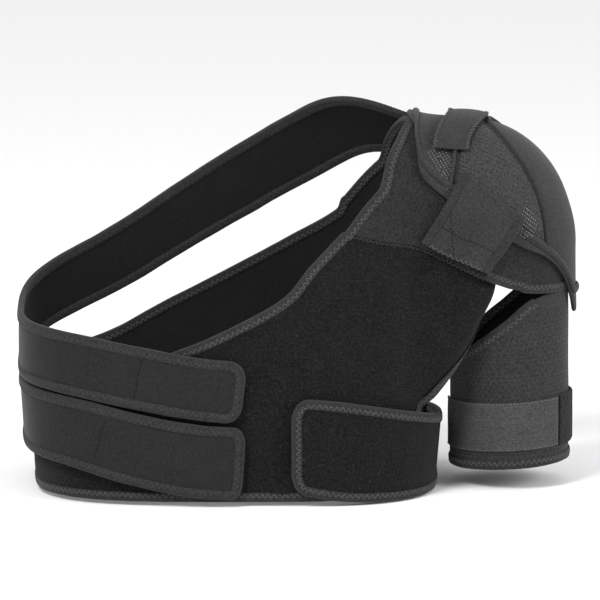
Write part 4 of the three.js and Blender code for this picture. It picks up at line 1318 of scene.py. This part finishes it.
class BRACE_OT_tabs(bpy.types.Operator):
    """Makes the strap over the cup and the front tab that it is anchored to"""

    bl_idname = "brace.tabs"
    bl_label = "Top strap and front tab"

    def execute(self, context):
        t, s = spans(150, 2.2), spans(TOP_STRAP_WIDTH, 2)
        middle = mix(*TOP_STRAP_PLACE, ease(0.0, 0.3, t)) * ARM_REACH
        x = middle[:, None] + ((s - 0.5) * TOP_STRAP_WIDTH)[None, :]
        lean = mix(*TOP_STRAP_LEAN, t) * np.pi
        origin = stack(x, 0, SHOULDER_CENTRE[2])
        origin = np.broadcast_to(origin, (len(t), len(s), 3))
        way = np.broadcast_to(stack(0, np.sin(lean), np.cos(lean))[:, None, :], origin.shape)
        band = cast_out(body_field, origin, way, 0, REACH)
        strap = clad("top_strap", "cloth", band, BAND_BASE, TAB_THICKNESS, "tab_cloth", "strap_cloth",
                     swell=ripple(band.p, 30, 11) * 0.2, round_edge=1.0)
        t, s = spans(80, 2)[:, None], spans(55, 2)[None, :]
        top = [mix(a, b, s) for a, b in zip(TAB["top_inner"], TAB["top_outer"])]
        low = [mix(a, b, s) for a, b in zip(TAB["low_inner"], TAB["low_outer"])]
        skin = face(mix(top[0], low[0], t) * ARM_REACH, mix(top[1], low[1], t) * SHOULDER_HEIGHT, -1)
        lift = mix(BAND_BASE, OVER_YOKE + TRIM_CLEARANCE, ease(0.3, 0.9, t)) + 0 * s
        raised = Skin(skin.up(lift), skin.n)
        tab = clad("front_tab", "cloth", raised, 0, TAB_THICKNESS, "tab_cloth", "strap_cloth",
                   swell=ripple(raised.p, 30, 12) * 0.15, round_edge=0.9)
        width = sizes_mm()["tape_width"]
        for node, which in (("front_tab_inner_tape", "start"), ("front_tab_outer_tape", "end")):
            tape = flat_tape(node + "_strip", edge_of(raised, which), TAB_THICKNESS + 0.15, width)
            laid(tape, [node])
        top_lines = [(band.up(BAND_BASE + TAB_THICKNESS + THREAD_LIFT)[:, k], band.n[:, k]) for k in (3, -4)]
        top_thread = sew("top_strap_stitches", top_lines, *TAB_ZIGZAG, slot="strap_cloth")
        last = [(raised.up(TAB_THICKNESS + THREAD_LIFT)[-4], raised.n[-4])]
        bottom_thread = sew("front_tab_stitches", last, *TAB_ZIGZAG, slot="strap_cloth")
        lines = [tab_line(raised, (0.28, 0.05), (0.95, 0.55)), tab_line(raised, (0.66, 0.15), (0.62, 0.97))]
        lines += [tab_line(raised, (0.02, 0.16), (0.9, 0.16)), tab_line(raised, (0.02, 0.84), (0.9, 0.84))]
        # The tab's dashed stitch lines take the near-black perforation colour: real stitching, its darkness
        # painted shade of the sunk grooves
        dashes = sew("front_tab_dashes", lines, *TAB_DASH, finish("hole"), "strap_cloth")
        as_sheet(strap, band, [top_thread])
        as_sheet(tab, raised, [bottom_thread, dashes])
        return {"FINISHED"}


def tab_line(skin, start, end):
    """Points over the tab between two shares of its rows and columns."""
    t = np.linspace(0, 1, 40)
    rows = (mix(start[0], end[0], t) * (len(skin.p) - 1)).round().astype(int)
    columns = (mix(start[1], end[1], t) * (skin.p.shape[1] - 1)).round().astype(int)
    spot = Skin(skin.p[rows, columns], skin.n[rows, columns])
    return spot.up(TAB_THICKNESS + 0.2), spot.n


def flat_tape(name, edge, height, width):
    section = [(-width, 0.0), (-width, 0.6), (-width * 0.85, 1.0), (-1.2, 1.0), (-0.1, 0.5), (0.0, 0.0)]
    grid = rings_along(edge.even(1.5), [(out, height + up) for out, up in section])
    return tube_piece(name, grid, finish("edge_tape"), False, 1.5)


# Stage

VIEW_CENTRE = np.array([61.2, 0.0, 159.9])
VIEW_RISE = 10.0
VIEW_DISTANCE = 8.0
VIEW_WIDTH = 0.54
FLOOR_REACH = 30.0
SENSOR = 36.0
WORLD_STRENGTH = 0.85
# Lights: place, size and power
LIGHTS = {"key light": ((-1.4, -2.2, 2.3), 1.2, 95), "right light": ((2.0, -1.2, 0.9), 1.2, 34)}


def add_light(name, place, size, power, target):
    data = bpy.data.lights.new(name, "AREA")
    data.shape = "DISK"
    data.size = size
    data.energy = power
    light = bpy.data.objects.new(name, data)
    light.location = place
    light.rotation_euler = (target - Vector(place)).to_track_quat("-Z", "Y").to_euler()
    bpy.context.scene.collection.objects.link(light)


class BRACE_OT_stage(bpy.types.Operator):
    """Makes the floor, the light and the camera"""

    bl_idname = "brace.stage"
    bl_label = "Stage"

    def execute(self, context):
        scene = context.scene
        target = Vector(placed(VIEW_CENTRE))
        rise = np.radians(VIEW_RISE)
        camera = bpy.data.objects.new("camera", bpy.data.cameras.new("camera"))
        back = Vector((0, -np.cos(rise), np.sin(rise)))
        camera.location = target + back * VIEW_DISTANCE
        camera.rotation_euler = (-back).to_track_quat("-Z", "Y").to_euler()
        camera.data.sensor_width = SENSOR
        camera.data.lens = SENSOR * VIEW_DISTANCE / VIEW_WIDTH
        camera.data.clip_end = 100
        scene.collection.objects.link(camera)
        scene.camera = camera
        mesh = bpy.data.meshes.new("floor")
        ground = CAD_BOX[0][2] - 0.001
        sides = ((-1, -1), (1, -1), (1, 1), (-1, 1))
        corners = [(x * FLOOR_REACH, y * FLOOR_REACH, ground) for x, y in sides]
        mesh.from_pydata(corners, [], [(0, 1, 2, 3)])
        floor = bpy.data.objects.new("floor", mesh)
        material = bpy.data.materials.new("floor")
        material.use_nodes = True
        shader = material.node_tree.nodes["Principled BSDF"]
        shader.inputs["Base Color"].default_value = (0.9, 0.9, 0.9, 1)
        shader.inputs["Roughness"].default_value = 0.9
        shader.inputs["Specular IOR Level"].default_value = 0.1
        mesh.materials.append(material)
        scene.collection.objects.link(floor)
        world = bpy.data.worlds.new("studio")
        world.use_nodes = True
        background = world.node_tree.nodes["Background"]
        background.inputs["Color"].default_value = (1, 1, 1, 1)
        background.inputs["Strength"].default_value = WORLD_STRENGTH
        scene.world = world
        scene.view_settings.view_transform = "Standard"
        for name, (place, size, power) in LIGHTS.items():
            add_light(name, place, size, power, target)
        return {"FINISHED"}


OPERATORS = (BRACE_OT_stage, BRACE_OT_body, BRACE_OT_straps, BRACE_OT_sleeve, BRACE_OT_cup, BRACE_OT_tabs)


class BRACE_PT_panel(bpy.types.Panel):
    """Sizes, colours and steps of the brace"""

    bl_label = "Shoulder brace"
    bl_idname = "BRACE_PT_panel"
    bl_space_type = "VIEW_3D"
    bl_region_type = "UI"
    bl_category = "Brace"

    def draw(self, context):
        column = self.layout.column()
        for group in (context.scene.brace_sizes, context.scene.brace_colours):
            for key in group.__annotations__:
                column.prop(group, key)
        for operator in OPERATORS:
            column.operator(operator.bl_idname)


CLASSES = (BraceSizes, BraceColours, *OPERATORS, BRACE_PT_panel)


def register():
    for cls in CLASSES:
        bpy.utils.register_class(cls)
    bpy.types.Scene.brace_sizes = bpy.props.PointerProperty(type=BraceSizes)
    bpy.types.Scene.brace_colours = bpy.props.PointerProperty(type=BraceColours)


def unregister():
    del bpy.types.Scene.brace_colours
    del bpy.types.Scene.brace_sizes
    for cls in reversed(CLASSES):
        bpy.utils.unregister_class(cls)


def main():
    register()
    build_skins()
    for step in (bpy.ops.brace.stage, bpy.ops.brace.body, bpy.ops.brace.straps, bpy.ops.brace.sleeve,
                 bpy.ops.brace.cup, bpy.ops.brace.tabs):
        if step() != {"FINISHED"}:
            raise RuntimeError("a step of the brace didn't finish")


if __name__ == "__main__":
    main()
